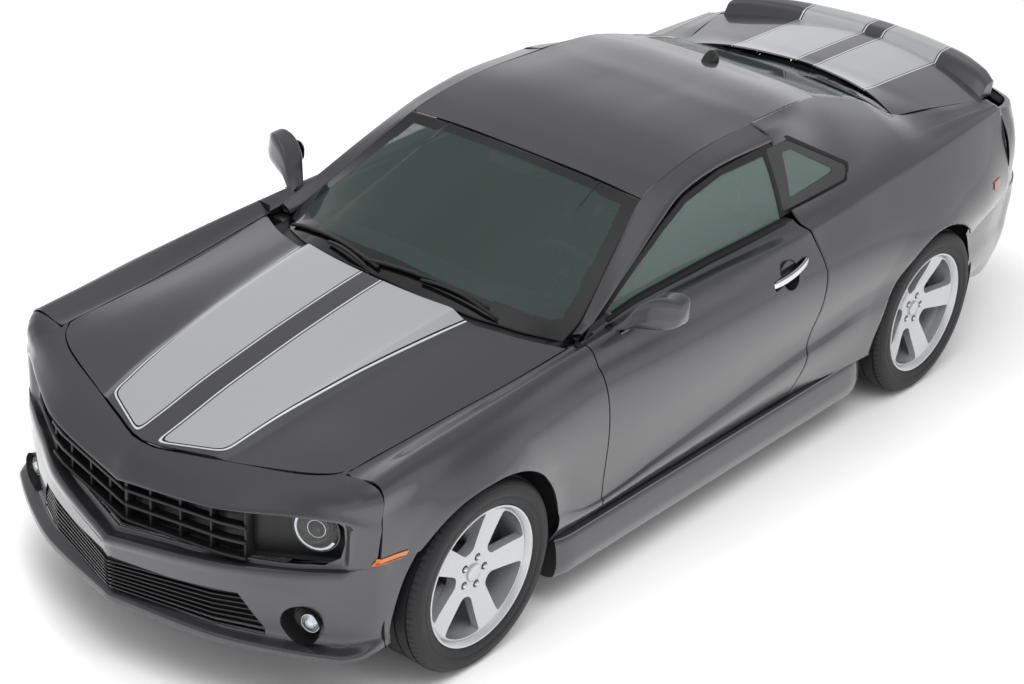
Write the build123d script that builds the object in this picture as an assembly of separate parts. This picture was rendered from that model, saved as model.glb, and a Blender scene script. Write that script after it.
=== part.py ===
"""Two-door muscle car, full size, in millimetres.

Frame: +X is the car's left (driver's side), -Y the front, +Y the rear, +Z up.
The origin is on the ground at the centre of the car's bounding box.
Tables give half sections of the body: x across from the centre plane, d behind
the front axle, z above the ground.  along(), across() and up() place them.
"""
from build123d import *
from math import cos, hypot, radians, sin
import os

os.makedirs("parts", exist_ok=True)

# ---------------------------------------------------------------- driving dimensions
LENGTH = 4836.0
BODY_WIDTH = 1918.0
HEIGHT = 1377.0
WHEELBASE = 2852.0
FRONT_OVERHANG = 885.0
FRONT_TRACK = 1618.0
REAR_TRACK = 1628.0

TYRE_RADIUS = 364.0
FRONT_TYRE_WIDTH = 244.0
REAR_TYRE_WIDTH = 276.0
RIM_LIP_RADIUS = 266.0
RIM_BORE_RADIUS = 244.0
SPOKE_COUNT = 5
DISC_RADIUS = 176.0
DISC_THICKNESS = 30.0
ARCH_GAP = 41.0
WHEELHOUSE_GAP = 72.0
KINGPIN_INSET = 74.0
KINGPIN_RADIUS = 11.0
SPINDLE_RADIUS = 24.0
RUNNING_FIT = 0.05

PANEL = 26.0
ROOF_THICKNESS = 30.0
GLASS = 5.0
SHUT_GAP = 6.0
SEAM = 0.3
DOOR_INNER_X = 700.0
DOOR_REAR_RAKE = 24.0
FLOOR_Z = 150.0
FLOOR_THICKNESS = 36.0
SILL_TOP = 305.0
SILL_BOTTOM = 128.0

# Figures that the section tables are drawn at; the driving dimensions stretch them.
DRAWN_WIDTH = 1918.0
DRAWN_HEIGHT = 1377.0
DRAWN_WHEELBASE = 2852.0
DRAWN_FRONT = 885.0
DRAWN_REAR = 1099.0

FRONT_AXLE_Y = FRONT_OVERHANG - LENGTH / 2
REAR_AXLE_Y = FRONT_AXLE_Y + WHEELBASE
REAR_OVERHANG = LENGTH - FRONT_OVERHANG - WHEELBASE


def along(d):
    """Y of the point d behind the front axle in the tables."""
    if d < 0:
        return FRONT_AXLE_Y + d * FRONT_OVERHANG / DRAWN_FRONT
    if d > DRAWN_WHEELBASE:
        return REAR_AXLE_Y + (d - DRAWN_WHEELBASE) * REAR_OVERHANG / DRAWN_REAR
    return FRONT_AXLE_Y + d * WHEELBASE / DRAWN_WHEELBASE


def across(x):
    return x * BODY_WIDTH / DRAWN_WIDTH


def up(z):
    return z * HEIGHT / DRAWN_HEIGHT


def drawn(z):
    """Table height of a true height, for what follows the wheels."""
    return z * DRAWN_HEIGHT / HEIGHT


def place(x, d, z):
    return Vector(across(x), along(d), up(z))


# ---------------------------------------------------------------- shaping helpers
def loft_rings(rings):
    """Ruled solid through closed rings of points, one ring per section."""
    wires = [Wire.make_polygon(ring, close=True) for ring in rings]
    return Solid.make_loft(wires, ruled=True)


def offset_chain(chain, wall, start=None, end=None):
    """Chain of (a, z) points moved to its inner side; start and end may fix the
    direction of the first and last move, as (da, dz)."""
    normals = []
    for (a0, z0), (a1, z1) in zip(chain, chain[1:]):
        run = hypot(a1 - a0, z1 - z0)
        normals.append(((z1 - z0) / run, -(a1 - a0) / run))
    moved = []
    for i, (a, z) in enumerate(chain):
        before = normals[max(i - 1, 0)]
        after = normals[min(i, len(normals) - 1)]
        na, nz = before[0] + after[0], before[1] + after[1]
        size = hypot(na, nz)
        reach = wall * 2 / size
        da, dz = -na / size * reach, -nz / size * reach
        if i == 0 and start:
            da, dz = start[0] * wall, start[1] * wall
        if i == len(chain) - 1 and end:
            da, dz = end[0] * wall, end[1] * wall
        moved.append((a + da, z + dz))
    return moved


def side_shell(rows, wall, start=None, end=None):
    """Wall solid on the left side from rows of (d, [(x, z), ...])."""
    rings = []
    for d, chain in rows:
        inner = offset_chain(chain, wall, start, end)
        rings.append([place(x, d, z) for x, z in chain + inner[::-1]])
    return loft_rings(rings)


def top_shell(rows, wall):
    """Full-width lid from rows of (d, [(x, z), ...]) with x from 0 outwards."""
    rings = []
    for d, half in rows:
        chain = [(x, z) for x, z in half[::-1]] + [(-x, z) for x, z in half if x]
        under = [(x, z - wall) for x, z in chain]
        rings.append([place(x, d, z) for x, z in chain + under[::-1]])
    return loft_rings(rings)


def fan_shell(rows, wall, start=None, end=None):
    """Wall solid from vertical planes; each row is (x0, d0, turn, [(r, z), ...]).

    turn is the plane's heading in degrees: 0 points out along the car's length
    (away from the middle), 90 points to the left."""
    rings = []
    for x0, d0, turn, chain in rows:
        ahead = -1 if d0 < 0 else 1
        inner = offset_chain(chain, wall, start, end)
        ux, ud = sin(radians(turn)), cos(radians(turn)) * ahead
        rings.append([place(x0 + r * ux, d0 + r * ud, z) for r, z in chain + inner[::-1]])
    return loft_rings(rings)


def side_prism(outline, x0, x1):
    """Prism across the car between x0 and x1 with the side outline (d, z)."""
    points = [(along(d), up(z)) for d, z in outline]
    face = make_face(Plane.YZ * Polyline(*points, close=True))
    return Location((x0, 0, 0)) * extrude(face, amount=x1 - x0, dir=(1, 0, 0))


def plan_prism(outline, z0, z1):
    """Upright prism between z0 and z1 with the plan outline (x, d)."""
    points = [(across(x), along(d)) for x, d in outline]
    face = make_face(Polyline(*points, close=True))
    return Location((0, 0, up(z0))) * extrude(face, amount=up(z1) - up(z0), dir=(0, 0, 1))


def front_prism(outline, d0, d1):
    """Prism along the car between d0 and d1 with the front outline (x, z)."""
    points = [(across(x), up(z)) for x, z in outline]
    plane = Plane(origin=(0, along(d0), 0), x_dir=(1, 0, 0), z_dir=(0, -1, 0))
    face = make_face(plane * Polyline(*points, close=True))
    return extrude(face, amount=along(d1) - along(d0), dir=(0, 1, 0))


def box(x0, x1, d0, d1, z0, z1):
    """Box between table coordinates."""
    size = (across(x1) - across(x0), along(d1) - along(d0), up(z1) - up(z0))
    middle = ((across(x0) + across(x1)) / 2, (along(d0) + along(d1)) / 2, (up(z0) + up(z1)) / 2)
    return Location(middle) * Box(*size)


def rod(start, end, radius):
    """Round bar between two points."""
    a, b = Vector(*start), Vector(*end)
    plane = Plane(origin=a, z_dir=b - a)
    return extrude(plane * Circle(radius), amount=(b - a).length)


def both_sides(shape):
    """Left piece and its mirror image on the right."""
    return [shape, mirror(shape, about=Plane.YZ)]


def joined(shape):
    """One piece made of a left half and its mirror image."""
    return shape + mirror(shape, about=Plane.YZ)


def solids_of(shape):
    items = shape if isinstance(shape, (list, tuple)) else [shape]
    found = []
    for item in items:
        found.extend(item.solids())
    return found


def write(node, shape):
    """Write one node with all its solids."""
    found = solids_of(shape)
    body = found[0] if len(found) == 1 else Compound(children=found)
    export_step(body, f"parts/{node}.step")


# ---------------------------------------------------------------- body side
# d, rocker x, (kick x, z), (fold x, z), (bulge x, z), (crease x, z), (belt x, z)
FLANK = [
    (-460, 850, (872, 420), (872, 520), (875, 700), (853, 882), (702, 878)),
    (-220, 870, (905, 420), (905, 520), (922, 750), (843, 910), (708, 890)),
    (0, 880, (930, 420), (930, 520), (950, 790), (842, 932), (716, 902)),
    (330, 885, (925, 400), (922, 520), (930, 790), (840, 957), (738, 928)),
    (620, 885, (915, 360), (908, 400), (925, 790), (838, 972), (752, 957)),
    (1000, 885, (918, 380), (905, 430), (932, 790), (842, 980), (745, 1000)),
    (1450, 885, (924, 410), (910, 490), (938, 790), (852, 985), (750, 1008)),
    (1940, 885, (935, 460), (920, 550), (944, 800), (862, 998), (783, 1033)),
    (2060, 890, (938, 465), (922, 555), (946, 803), (853, 1000), (785, 1040)),
]

# d, rocker x, (kick), (fold), (bulge), (crease), (belt), (pillar), (rail), (seam)
QUARTER = [
    (1900, 925, (935, 460), (920, 550), (943, 800), (860, 997), (783, 1033),
     (703, 1165), (627, 1322), (532, 1355)),
    (2060, 928, (938, 465), (922, 555), (946, 803), (853, 1000), (785, 1040),
     (705, 1165), (624, 1312), (524, 1353)),
    (2300, 935, (945, 480), (935, 590), (950, 810), (848, 1008), (785, 1052),
     (690, 1160), (590, 1270), (508, 1340)),
    (2520, 938, (948, 480), (944, 595), (954, 800), (838, 1018), (775, 1062),
     (680, 1150), (560, 1245), (470, 1297)),
    (2852, 935, (950, 480), (950, 600), (958, 790), (828, 1030), (755, 1068),
     (660, 1112), (565, 1160), (495, 1196)),
    (3040, 930, (942, 470), (942, 600), (950, 790), (820, 1038), (745, 1064),
     (672, 1080), (610, 1092), (562, 1100)),
    (3300, 905, (915, 450), (920, 600), (925, 790), (806, 1045), (750, 1068),
     (712, 1076), (675, 1084), (640, 1088)),
    (3560, 850, (860, 450), (868, 600), (875, 780), (785, 1050), (760, 1062),
     (740, 1066), (725, 1070), (712, 1074)),
]


def flank_chain(row):
    d, rocker, kick, fold, bulge, crease, *rest = row
    return d, [(rocker, SILL_TOP), kick, fold, bulge, crease] + rest


def arch(axle_y, radius):
    """Cylinder across the whole car about an axle."""
    return Location((0, axle_y, TYRE_RADIUS), (0, 90, 0)) * Cylinder(radius, 3 * BODY_WIDTH)


def between(rows, d, column):
    """Point in one column of a section table, read between its rows."""
    for low, high in zip(rows, rows[1:]):
        if d <= high[0]:
            break
    t = (d - low[0]) / (high[0] - low[0])
    return tuple(a + (b - a) * t for a, b in zip(low[column], high[column]))


ARCH_RADIUS = TYRE_RADIUS + ARCH_GAP
HOUSE_RADIUS = TYRE_RADIUS + WHEELHOUSE_GAP
FAR = 1400.0

HINGE_X = 903.0
HINGE_D = 702.0

# Shut lines of the door in side view, (d, z) from the sill up.
DOOR_FRONT = [(HINGE_D - 25, 300), (HINGE_D - 26, 400), (HINGE_D - 42, 640), (HINGE_D - 62, 860),
              (HINGE_D - 72, 1060)]
DOOR_FRONT_GAP = 10.0
DOOR_REAR = [(1905, 300), (1912, 400), (1970, 640), (2004, 846), (1985, 960), (1962, 1060)]

flank = side_shell([flank_chain(row) for row in FLANK], PANEL, end=(0, -1))
fender_outline = ([(-452, 1000), (-474, 618), (-300, 612), (-300, 300)]
                  + [(d - DOOR_FRONT_GAP, z) for d, z in DOOR_FRONT])
fender = flank & side_prism(fender_outline, 0, FAR)
fender -= arch(FRONT_AXLE_Y, ARCH_RADIUS)
fender = max(fender.solids(), key=lambda s: s.volume)

quarter = side_shell([flank_chain(row) for row in QUARTER], PANEL, end=(0, -1))
quarter_outline = ([(d + SHUT_GAP, z) for d, z in DOOR_REAR]
                   + [(1958, 1420), (3560 - SEAM, 1420), (3560 - SEAM, 700), (3150, 640), (3150, 300)])
quarter &= side_prism(quarter_outline, 0, FAR)
quarter -= arch(REAR_AXLE_Y, ARCH_RADIUS)
QUARTER_GLASS = [(1990, 1066), (1996, 1292), (2075, 1288), (2392, 1118), (2360, 1078)]
quarter_window = side_prism(QUARTER_GLASS, 0, FAR)
quarter = max((quarter - quarter_window).solids(), key=lambda s: s.volume)

pane = side_shell([flank_chain(row) for row in QUARTER[:4]], 2 * GLASS, end=(0, -1))
quarter_glass = pane & quarter_window

write("fenders", both_sides(fender))
write("quarter_panels", both_sides(quarter))
write("quarter_glass", both_sides(quarter_glass))


# ---------------------------------------------------------------- doors
def door_ring(row):
    d, chain = flank_chain(row)
    chain = [(x, max(z, SILL_TOP + SHUT_GAP)) for x, z in chain]
    inner = [(DOOR_INNER_X, z) for x, z in chain]
    return [place(x, d, z) for x, z in chain + inner[::-1]]


HINGE_PIN = 4.0
HINGE_EYE = 7.5
HINGE_LEVELS = (610, 800)
HINGE_HEIGHT = 36.0
HINGE_ROOM = 6.0
SHUT_FACE_D = HINGE_D + 38
POST_FRONT_D = HINGE_D - 44
POST_REAR_D = HINGE_D + 22
POST_X = (DOOR_INNER_X, 800)

door = loft_rings([door_ring(row) for row in FLANK[3:]])
door &= side_prism(DOOR_FRONT + DOOR_REAR[::-1], 0, FAR)
door -= front_prism([(690, 290), (885, 290), (893, 700), (885, 860), (815, 940), (760, 940),
                     (760, 1010), (690, 1010)], HINGE_D - 102, SHUT_FACE_D)
# The rear end leans forward towards the cabin, so that its inner edge swings clear of the wing.
behind = max(d for d, z in DOOR_REAR) + 100
rake_rings = []
for x, shift in ((DOOR_INNER_X - 10, DOOR_REAR_RAKE), (HINGE_X, 0), (HINGE_X + 100, 0)):
    outline = [(d - shift, z) for d, z in DOOR_REAR] + [(behind, DOOR_REAR[-1][1]), (behind, DOOR_REAR[0][1])]
    rake_rings.append([place(x, d, z) for d, z in outline])
door -= loft_rings(rake_rings)
door -= box(DOOR_INNER_X - 10, 714, HINGE_D - 102, HINGE_D + 118, 940, 1060)
door = max(door.solids(), key=lambda s: s.volume)
leaves = []
for z in HINGE_LEVELS:
    axis_x, axis_y, low = across(HINGE_X), along(HINGE_D), up(z)
    door -= Location((axis_x, axis_y, low + HINGE_HEIGHT / 4)) * Cylinder(11, HINGE_HEIGHT / 2 + 10)
    door -= box(860, HINGE_X + HINGE_ROOM, HINGE_D - 82, HINGE_D, z - 5, z + HINGE_HEIGHT / 2 + 5)
    door -= box(860, HINGE_X, HINGE_D - 11, HINGE_D + 11, z - 5, z + HINGE_HEIGHT / 2 + 5)
    eye = Location((axis_x, axis_y, low + HINGE_HEIGHT * 0.75 + 5)) * Cylinder(HINGE_EYE, HINGE_HEIGHT / 2)
    arm = box(HINGE_X - 12, HINGE_X + 4, HINGE_D, SHUT_FACE_D + 12, z + 24, z + 40)
    pin_hole = Location((axis_x, axis_y, low)) * Cylinder(HINGE_PIN + RUNNING_FIT, 4 * HINGE_HEIGHT)
    door = (door + eye + arm) - (pin_hole & box(860, 940, HINGE_D - 22, HINGE_D + 18, z - 20, z + 44))
    leaf = Location((axis_x, axis_y, low + HINGE_HEIGHT / 4)) * Cylinder(HINGE_EYE - 1.5, HINGE_HEIGHT / 2)
    leaf += Location((axis_x, axis_y, low + HINGE_HEIGHT / 2)) * Cylinder(HINGE_PIN, HINGE_HEIGHT)
    leaf += box(POST_X[1] - 4, HINGE_X, HINGE_D - 5, HINGE_D + 5, z + 2, z + 16)
    leaves.append(leaf)
door = max(door.solids(), key=lambda s: s.volume)

# d, glass x at the belt, belt z, middle x, z, top x, z
DOOR_GLASS = [
    (740, 734, 971, 700, 1110, 652, 1230),
    (1000, 731, 1000, 690, 1150, 634, 1300),
    (1450, 735, 1008, 690, 1165, 622, 1330),
    (1940, 762, 1033, 702, 1175, 620, 1330),
]
rows = [(d, [(x0, z0 + SEAM), (x1, z1), (x2, z2)]) for d, x0, z0, x1, z1, x2, z2 in DOOR_GLASS]
door_glass = side_shell(rows, GLASS, start=(-1, 0))
GLASS_OUTLINE = [(836, 980), (836, 1004), (1040, 1108), (1230, 1192), (1380, 1246), (1617, 1281),
                 (1892, 1280), (1908, 1060), (1912, 980)]
door_glass &= side_prism(GLASS_OUTLINE, 0, FAR)
mirror_foot = box(790, 880, 790, 850, 970, 1045)
mirror_head = loft_rings([[place(x, d, z) for x, z in ((870, z0), (1030, z0 + 25), (1030, z1 - 25), (870, z1))]
                          for d, z0, z1 in ((800, 1025, 1125), (850, 1000, 1150), (900, 1010, 1150))])
for side, name in ((1, "left"), (-1, "right")):
    hand = (lambda s: s) if side == 1 else (lambda s: mirror(s, about=Plane.YZ))
    write(f"door_{name}", hand(door))
    write(f"door_glass_{name}", hand(door_glass))
    write(f"mirror_{name}", hand(mirror_head + mirror_foot - door))


# ---------------------------------------------------------------- roof, rails and glass
# d, (lower x, z), (outer x, z), (seam x, z)
RAIL = [
    (690, (738, 955), (744, 984), (706, 968)),
    (760, (734, 985), (740, 1006), (690, 990)),
    (1040, (688, 1122), (694, 1146), (616, 1164)),
    (1230, (655, 1203), (660, 1236), (567, 1275)),
    (1380, (634, 1258), (638, 1291), (556, 1315)),
    (1617, (627, 1292), (630, 1325), (543, 1347)),
    (1950, (626, 1292), (628, 1325), (530, 1355)),
]
ROOF = [
    (1230, (0, 1292), (300, 1290)),
    (1380, (0, 1330), (300, 1327)),
    (1617, (0, 1367), (300, 1363)),
    (1950, (0, 1377), (300, 1373)),
    (2060, (0, 1374), (300, 1370)),
    (2300, (0, 1360), (300, 1356)),
    (2520, (0, 1312), (300, 1309)),
]
RAIL_FLANGE = 24.0
rail_rings = []
for d, lower, outer, seam in RAIL:
    section = [lower, outer, seam, (seam[0], seam[1] - PANEL), (lower[0] - RAIL_FLANGE, lower[1])]
    rail_rings.append([place(x, d, z) for x, z in section])
side_rail = loft_rings(rail_rings)
post = box(*POST_X, POST_FRONT_D, POST_REAR_D, SILL_TOP + SEAM, 925)
post += box(706, 738, HINGE_D - 12, POST_REAR_D, 925, 966)
side_frame = side_rail + post
for leaf in leaves:
    side_frame += leaf


def seam_at(d):
    rows = RAIL if d < RAIL[-1][0] else QUARTER
    x, z = between(rows, d, len(rows[0]) - 1)
    return x - SEAM, z


roof = top_shell([(d, [a, b, seam_at(d)]) for d, a, b in ROOF], ROOF_THICKNESS)

# d, edge (x, z) or None on the side frame, middle (x, z), centre z
WINDSCREEN = [
    (430, (300, 1010), (150, 1022), 1026),
    (560, (560, 980), (300, 1050), 1078),
    (666, (690, 937), (380, 1060), 1112),
    (760, None, (400, 1092), 1142),
    (1040, None, (380, 1208), 1235),
    (1229.5, None, (300, 1286), 1290),
]
windscreen = top_shell([(d, [(0, z), middle, edge or seam_at(d)]) for d, edge, middle, z in WINDSCREEN], GLASS)
REAR_GLASS = [
    (2520.5, (250, 1306), 1310),
    (2852, (280, 1208), 1215),
    (3010, (300, 1146), 1165),
    (3140, (300, 1106), 1124),
]
rear_window = top_shell([(d, [(0, z), middle, seam_at(d)]) for d, middle, z in REAR_GLASS], GLASS)
rear_window &= plan_prism([(-600, 2500), (600, 2500), (560, 3000), (400, 3085), (0, 3140), (-400, 3085),
                           (-560, 3000)], 900, 1400)
write("side_frames", both_sides(side_frame))
write("roof_panel", roof)
write("windscreen", windscreen)
write("rear_window", rear_window)

# ---------------------------------------------------------------- hood and boot lid
# d, centre z, (bulge top x, z), (bulge foot x, z); its edge follows the fender
HOOD = [
    (-730, 802, (230, 800), (290, 796)),
    (-560, 845, (265, 842), (330, 832)),
    (-390, 892, (285, 888), (350, 872)),
    (-220, 930, (298, 924), (362, 905)),
    (0, 975, (314, 967), (382, 942)),
    (330, 1030, (335, 1016), (410, 980)),
    (620, 1062, (350, 1045), (430, 1005)),
]
HOOD_FRONT = [(0, -706), (350, -578), (560, -476), (698, -386)]
HOOD_REAR = [(0, 397), (300, 425), (560, 500), (750, 605)]
HOOD_HINGE = (640, 915)
HOOD_PIN = 5.0


def hood_edge(d):
    x, z = between(FLANK, d, -1) if d >= FLANK[0][0] else (FLANK[0][-1][0], FLANK[0][-1][1] + (d - FLANK[0][0]) / 4)
    return x - SHUT_GAP, z


hood = top_shell([(d, [(0, z), a, b, hood_edge(d)]) for d, z, a, b in HOOD], PANEL)
hood_plan = HOOD_FRONT + HOOD_REAR[::-1]
hood_plan = hood_plan + [(-x, d) for x, d in hood_plan[::-1] if x]
hood &= plan_prism(hood_plan, 600, 1300)
hinge_y, hinge_z = along(HOOD_HINGE[0]), up(HOOD_HINGE[1])
for side in (1, -1):
    arm = side_prism([(530, 900), (530, 930), (585, 936), (640, 926), (640, 904)], 0, 12)
    eye = Location((6, hinge_y, hinge_z), (0, 90, 0)) * Cylinder(HOOD_PIN + 6, 12)
    hole = Location((6, hinge_y, hinge_z), (0, 90, 0)) * Cylinder(HOOD_PIN + RUNNING_FIT, 30)
    arm = arm + eye - hole
    arm = Location((across(712), 0, 0)) * arm
    hood += arm if side == 1 else mirror(arm, about=Plane.YZ)
write("hood", hood)

# d, centre z, (middle x, z), (edge x, z)
COWL = [
    (395, 1000, (150, 1000), (400, 960)),
    (430, 1014, (150, 1010), (480, 948)),
    (560, 1066, (300, 1036), (640, 930)),
    (666, 1100, (380, 1046), (704, 908)),
    (740, 1122, (400, 1070), (690, 940)),
]
cowl = top_shell([(d, [(0, z), m, e]) for d, z, m, e in COWL], 12)
cowl_plan = [(0, 408), (300, 436), (560, 511), (700, 588), (700, 660), (560, 640), (300, 520), (0, 500)]
cowl_plan = cowl_plan + [(-x, d) for x, d in cowl_plan[::-1] if x]
cowl &= plan_prism(cowl_plan, 800, 1200)
cowl = max(cowl.solids(), key=lambda s: s.volume)
for side in (1, -1):
    bracket = box(692, 704, 622, 656, 900, 930)
    pin = Location((across(718), hinge_y, hinge_z), (0, 90, 0)) * Cylinder(HOOD_PIN, across(38))
    bracket += pin
    cowl += bracket if side == 1 else mirror(bracket, about=Plane.YZ)


def screen_z(x, d):
    """Height of the windscreen's outer face near its foot."""
    edge, middle = (between(WINDSCREEN[:3], d, column) for column in (1, 2))
    centre = [(low[3], high[3], (d - low[0]) / (high[0] - low[0])) for low, high in zip(WINDSCREEN, WINDSCREEN[1:])
              if low[0] <= d <= high[0]][0]
    top = (0, centre[0] + (centre[1] - centre[0]) * centre[2])
    (x0, z0), (x1, z1) = (top, middle) if abs(x) <= middle[0] else (middle, edge)
    return z0 + (z1 - z0) * (abs(x) - x0) / (x1 - x0)


WIPER_RADIUS = 6.0
WIPER_LIFT = 16.0
# Pivot (x, d), its top z, the arm's knee (x, d), then the blade's points (x, d) along the foot of the glass.
WIPERS = [
    ((500, 512), 1006, (470, 522), [(430, 524), (165, 482), (-90, 460)]),
    ((40, 421), 1020, (20, 434), [(-30, 446), (-300, 478), (-545, 556)]),
]
wipers = []
for (pivot_x, pivot_d), pivot_z, knee, blade in WIPERS:
    path = [(pivot_x, pivot_d, pivot_z)] + [(x, d, screen_z(x, d) + WIPER_LIFT) for x, d in [knee] + blade]
    wiper = rod(place(pivot_x, pivot_d, 930), place(*path[0]), WIPER_RADIUS + 2)
    for start, end in zip(path, path[1:]):
        wiper += rod(place(*start), place(*end), WIPER_RADIUS)
        wiper += Location(place(*end)) * Sphere(WIPER_RADIUS)
    wiper -= cowl
    wipers.append(max(wiper.solids(), key=lambda s: s.bounding_box().max.Z))
write("cowl", [cowl] + wipers)

BOOT = [
    (3020, 1170, (300, 1150), (562 - SHUT_GAP, 1098)),
    (3190, 1134, (300, 1124), (606 - SHUT_GAP, 1093)),
    (3300, 1132, (300, 1122), (640 - SHUT_GAP, 1088)),
    (3560, 1128, (300, 1116), (712 - SHUT_GAP, 1074)),
    (3860, 1118, (300, 1106), (700, 1055)),
]
BOOT_FRONT = [(0, 3187), (300, 3140), (556, 3030)]
BOOT_REAR = [(706, 3520), (620, 3740), (300, 3850), (0, 3858)]
boot_lid = top_shell([(d, [(0, z), b, c]) for d, z, b, c in BOOT], PANEL)
boot_plan = BOOT_FRONT + BOOT_REAR
boot_plan = boot_plan + [(-x, d) for x, d in boot_plan[::-1] if x]
boot_lid &= plan_prism(boot_plan, 900, 1300)
write("boot_lid", boot_lid)

# ---------------------------------------------------------------- nose and bumpers
FAN_D = -375
NOSE = [
    (0, FAN_D, 0, [(425, 690), (446, 706), (400, 755), (338, 800)]),
    (390, FAN_D, 0, [(360, 725), (382, 746), (285, 800), (180, 843)]),
    (600, FAN_D, 0, [(255, 745), (280, 766), (190, 825), (90, 866)]),
    (600, FAN_D, 45, [(215, 745), (238, 775), (200, 840), (70, 872)]),
    (600, FAN_D, 60, [(255, 665), (268, 760), (240, 865), (92, 875)]),
    (600, FAN_D, 73, [(276, 618 + SEAM), (284, 740), (262, 878), (106, 876)]),
]
nose = fan_shell(NOSE, PANEL, start=(-0.7, 0.7))
HOOD_NOSE_GAP = 9.0
hood_room = [(x, d - HOOD_NOSE_GAP) for x, d in HOOD_FRONT]
hood_room += [(698 + SHUT_GAP, -380), (698 + SHUT_GAP, 0), (0, 0)]
nose -= plan_prism(hood_room, 600, 1300)
nose -= side_prism([(d - SEAM, z) for d, z in fender_outline[:2]] + [(-200, 600), (-200, 1000)], across(700), FAR)
nose = max(nose.solids(), key=lambda s: s.volume)
write("nose_panel", joined(nose))

BUMPER = [
    (0, FAN_D, 0, [(440, 250), (470, 280), (500, 430), (510, 500), (440, 520)]),
    (390, FAN_D, 0, [(350, 250), (380, 280), (400, 440), (390, 528), (335, 540)]),
    (600, FAN_D, 0, [(265, 250), (290, 280), (298, 440), (272, 538), (225, 550)]),
    (600, FAN_D, 45, [(240, 250), (262, 280), (255, 440), (240, 560), (215, 600)]),
    (600, FAN_D, 60, [(250, 250), (268, 280), (264, 440), (268, 590), (255, 612)]),
    (600, FAN_D, 73, [(255, 240), (270, 260), (270, 440), (278, 560), (277, 617 - SEAM)]),
    (600, FAN_D, 90, [(255, 235), (275, 255), (271, 430), (273, 540), (274, 614)]),
    (600, FAN_D + 75, 90, [(262, 240), (283, 258), (290, 430), (294, 540), (300, 611)]),
]
bumper = fan_shell(BUMPER, PANEL, end=(-0.7, -0.7)) - arch(FRONT_AXLE_Y, ARCH_RADIUS)

TAIL = [
    (0, 3560, 0, [(376, 712 + SEAM), (352, 900), (310, 1040)]),
    (550, 3560, 0, [(306, 712 + SEAM), (280, 900), (240, 1030)]),
    (550, 3560, 45, [(306, 712 + SEAM), (285, 900), (245, 1030)]),
    (550, 3560, 90, [(326, 712 + SEAM), (305, 900), (236, 1040)]),
]
tail = fan_shell(TAIL, PANEL, start=(-1, 0), end=(-1, 0))
write("tail_panel", joined(tail))
REAR_BUMPER = [
    (0, 3560, 0, [(300, 262), (372, 420), (391, 600), (376, 712)]),
    (550, 3560, 0, [(240, 262), (310, 420), (322, 600), (306, 712)]),
    (550, 3560, 45, [(245, 262), (305, 420), (315, 600), (306, 712)]),
    (550, 3560, 90, [(270, 262), (312, 420), (322, 600), (326, 699 - SEAM)]),
    (550, 3400, 90, [(330, 290), (348, 420), (352, 560), (356, 676 - SEAM)]),
    (550, 3170, 90, [(350, 300), (365, 420), (372, 560), (375, 642 - SEAM)]),
]
rear_bumper = fan_shell(REAR_BUMPER, PANEL, end=(-1, 0))
rear_bumper -= arch(REAR_AXLE_Y, ARCH_RADIUS)
PLATE_HOLE_SPACING = 178.0
PLATE_HOLE_RADIUS = 3.2
PLATE_PAD_FACE = 3944
plate_pad = box(-165, 165, 3900, PLATE_PAD_FACE, 440, 600)
rear_bumper = joined(rear_bumper) + plate_pad
for side in (1, -1):
    rear_bumper -= Location((side * PLATE_HOLE_SPACING / 2, along(PLATE_PAD_FACE), up(570)), (90, 0, 0)) * Cylinder(
        PLATE_HOLE_RADIUS, 200)
write("rear_bumper", rear_bumper)

# ---------------------------------------------------------------- spoiler, grilles and lamps
SPOILER = [
    (0, 3560, [(180, 1122.4), (215, 1150), (315, 1152), (297, 1118.6)]),
    (400, 3560, [(120, 1101.2), (165, 1146), (255, 1150), (240, 1096)]),
    (600, 3560, [(40, 1083.4), (85, 1140), (155, 1146), (140, 1078)]),
    (690, 3560, [(-20, 1077.6), (20, 1128), (80, 1134), (70, 1077)]),
]
spoiler_rings = [[place(x, d + r, z) for r, z in chain] for x, d, chain in SPOILER]
spoiler_rings = [[Vector(-p.X, p.Y, p.Z) for p in ring] for ring in spoiler_rings[:0:-1]] + spoiler_rings
spoiler = loft_rings(spoiler_rings) - boot_lid
spoiler = max(spoiler.solids(), key=lambda s: s.volume)
write("spoiler", spoiler)

GRILLE_UPPER = [
    (0, FAN_D, 0, [(436, 516.5), (419, 695.5)]),
    (390, FAN_D, 0, [(331, 536.5), (354, 730.5)]),
    (600, FAN_D, 0, [(221, 546.5), (249, 750.5)]),
    (600, FAN_D, 45, [(211, 596.5), (209, 750.5)]),
]
grille_upper = fan_shell(GRILLE_UPPER, 14, start=(-1, 0), end=(-1, 0))
GRILLE_LOWER = [
    (0, FAN_D, 0, [(443, 285), (473, 430)]),
    (390, FAN_D, 0, [(353, 285), (373, 430)]),
    (560, FAN_D, 0, [(280, 285), (290, 430)]),
]
grille_lower = fan_shell(GRILLE_LOWER, 14, start=(-1, 0), end=(-1, 0))

HEADLAMP = (655, -600, 672)
HEADLAMP_RADIUS = 72.0
FOG_LAMP = (672, -625, 350)
FOG_RADIUS = 48.0


def lamp(centre, radius, front, back, turn):
    """Cylinder about a lamp's axis from front mm ahead of its centre to back mm behind."""
    ahead = Vector(sin(radians(turn)), -cos(radians(turn)), 0)
    start = place(*centre) + ahead * front
    return extrude(Plane(origin=start, z_dir=-ahead) * Circle(radius), amount=front + back)


headlamp = lamp(HEADLAMP, HEADLAMP_RADIUS, 0, 70, 20)
fog_lamp = lamp(FOG_LAMP, FOG_RADIUS, 0, 40, 15)
head_room = lamp(HEADLAMP, HEADLAMP_RADIUS + SEAM, 60, 120, 20)
fog_room = lamp(FOG_LAMP, FOG_RADIUS + SEAM, 90, 90, 15)
grille_upper -= head_room
grille_lower -= fog_room
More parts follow.
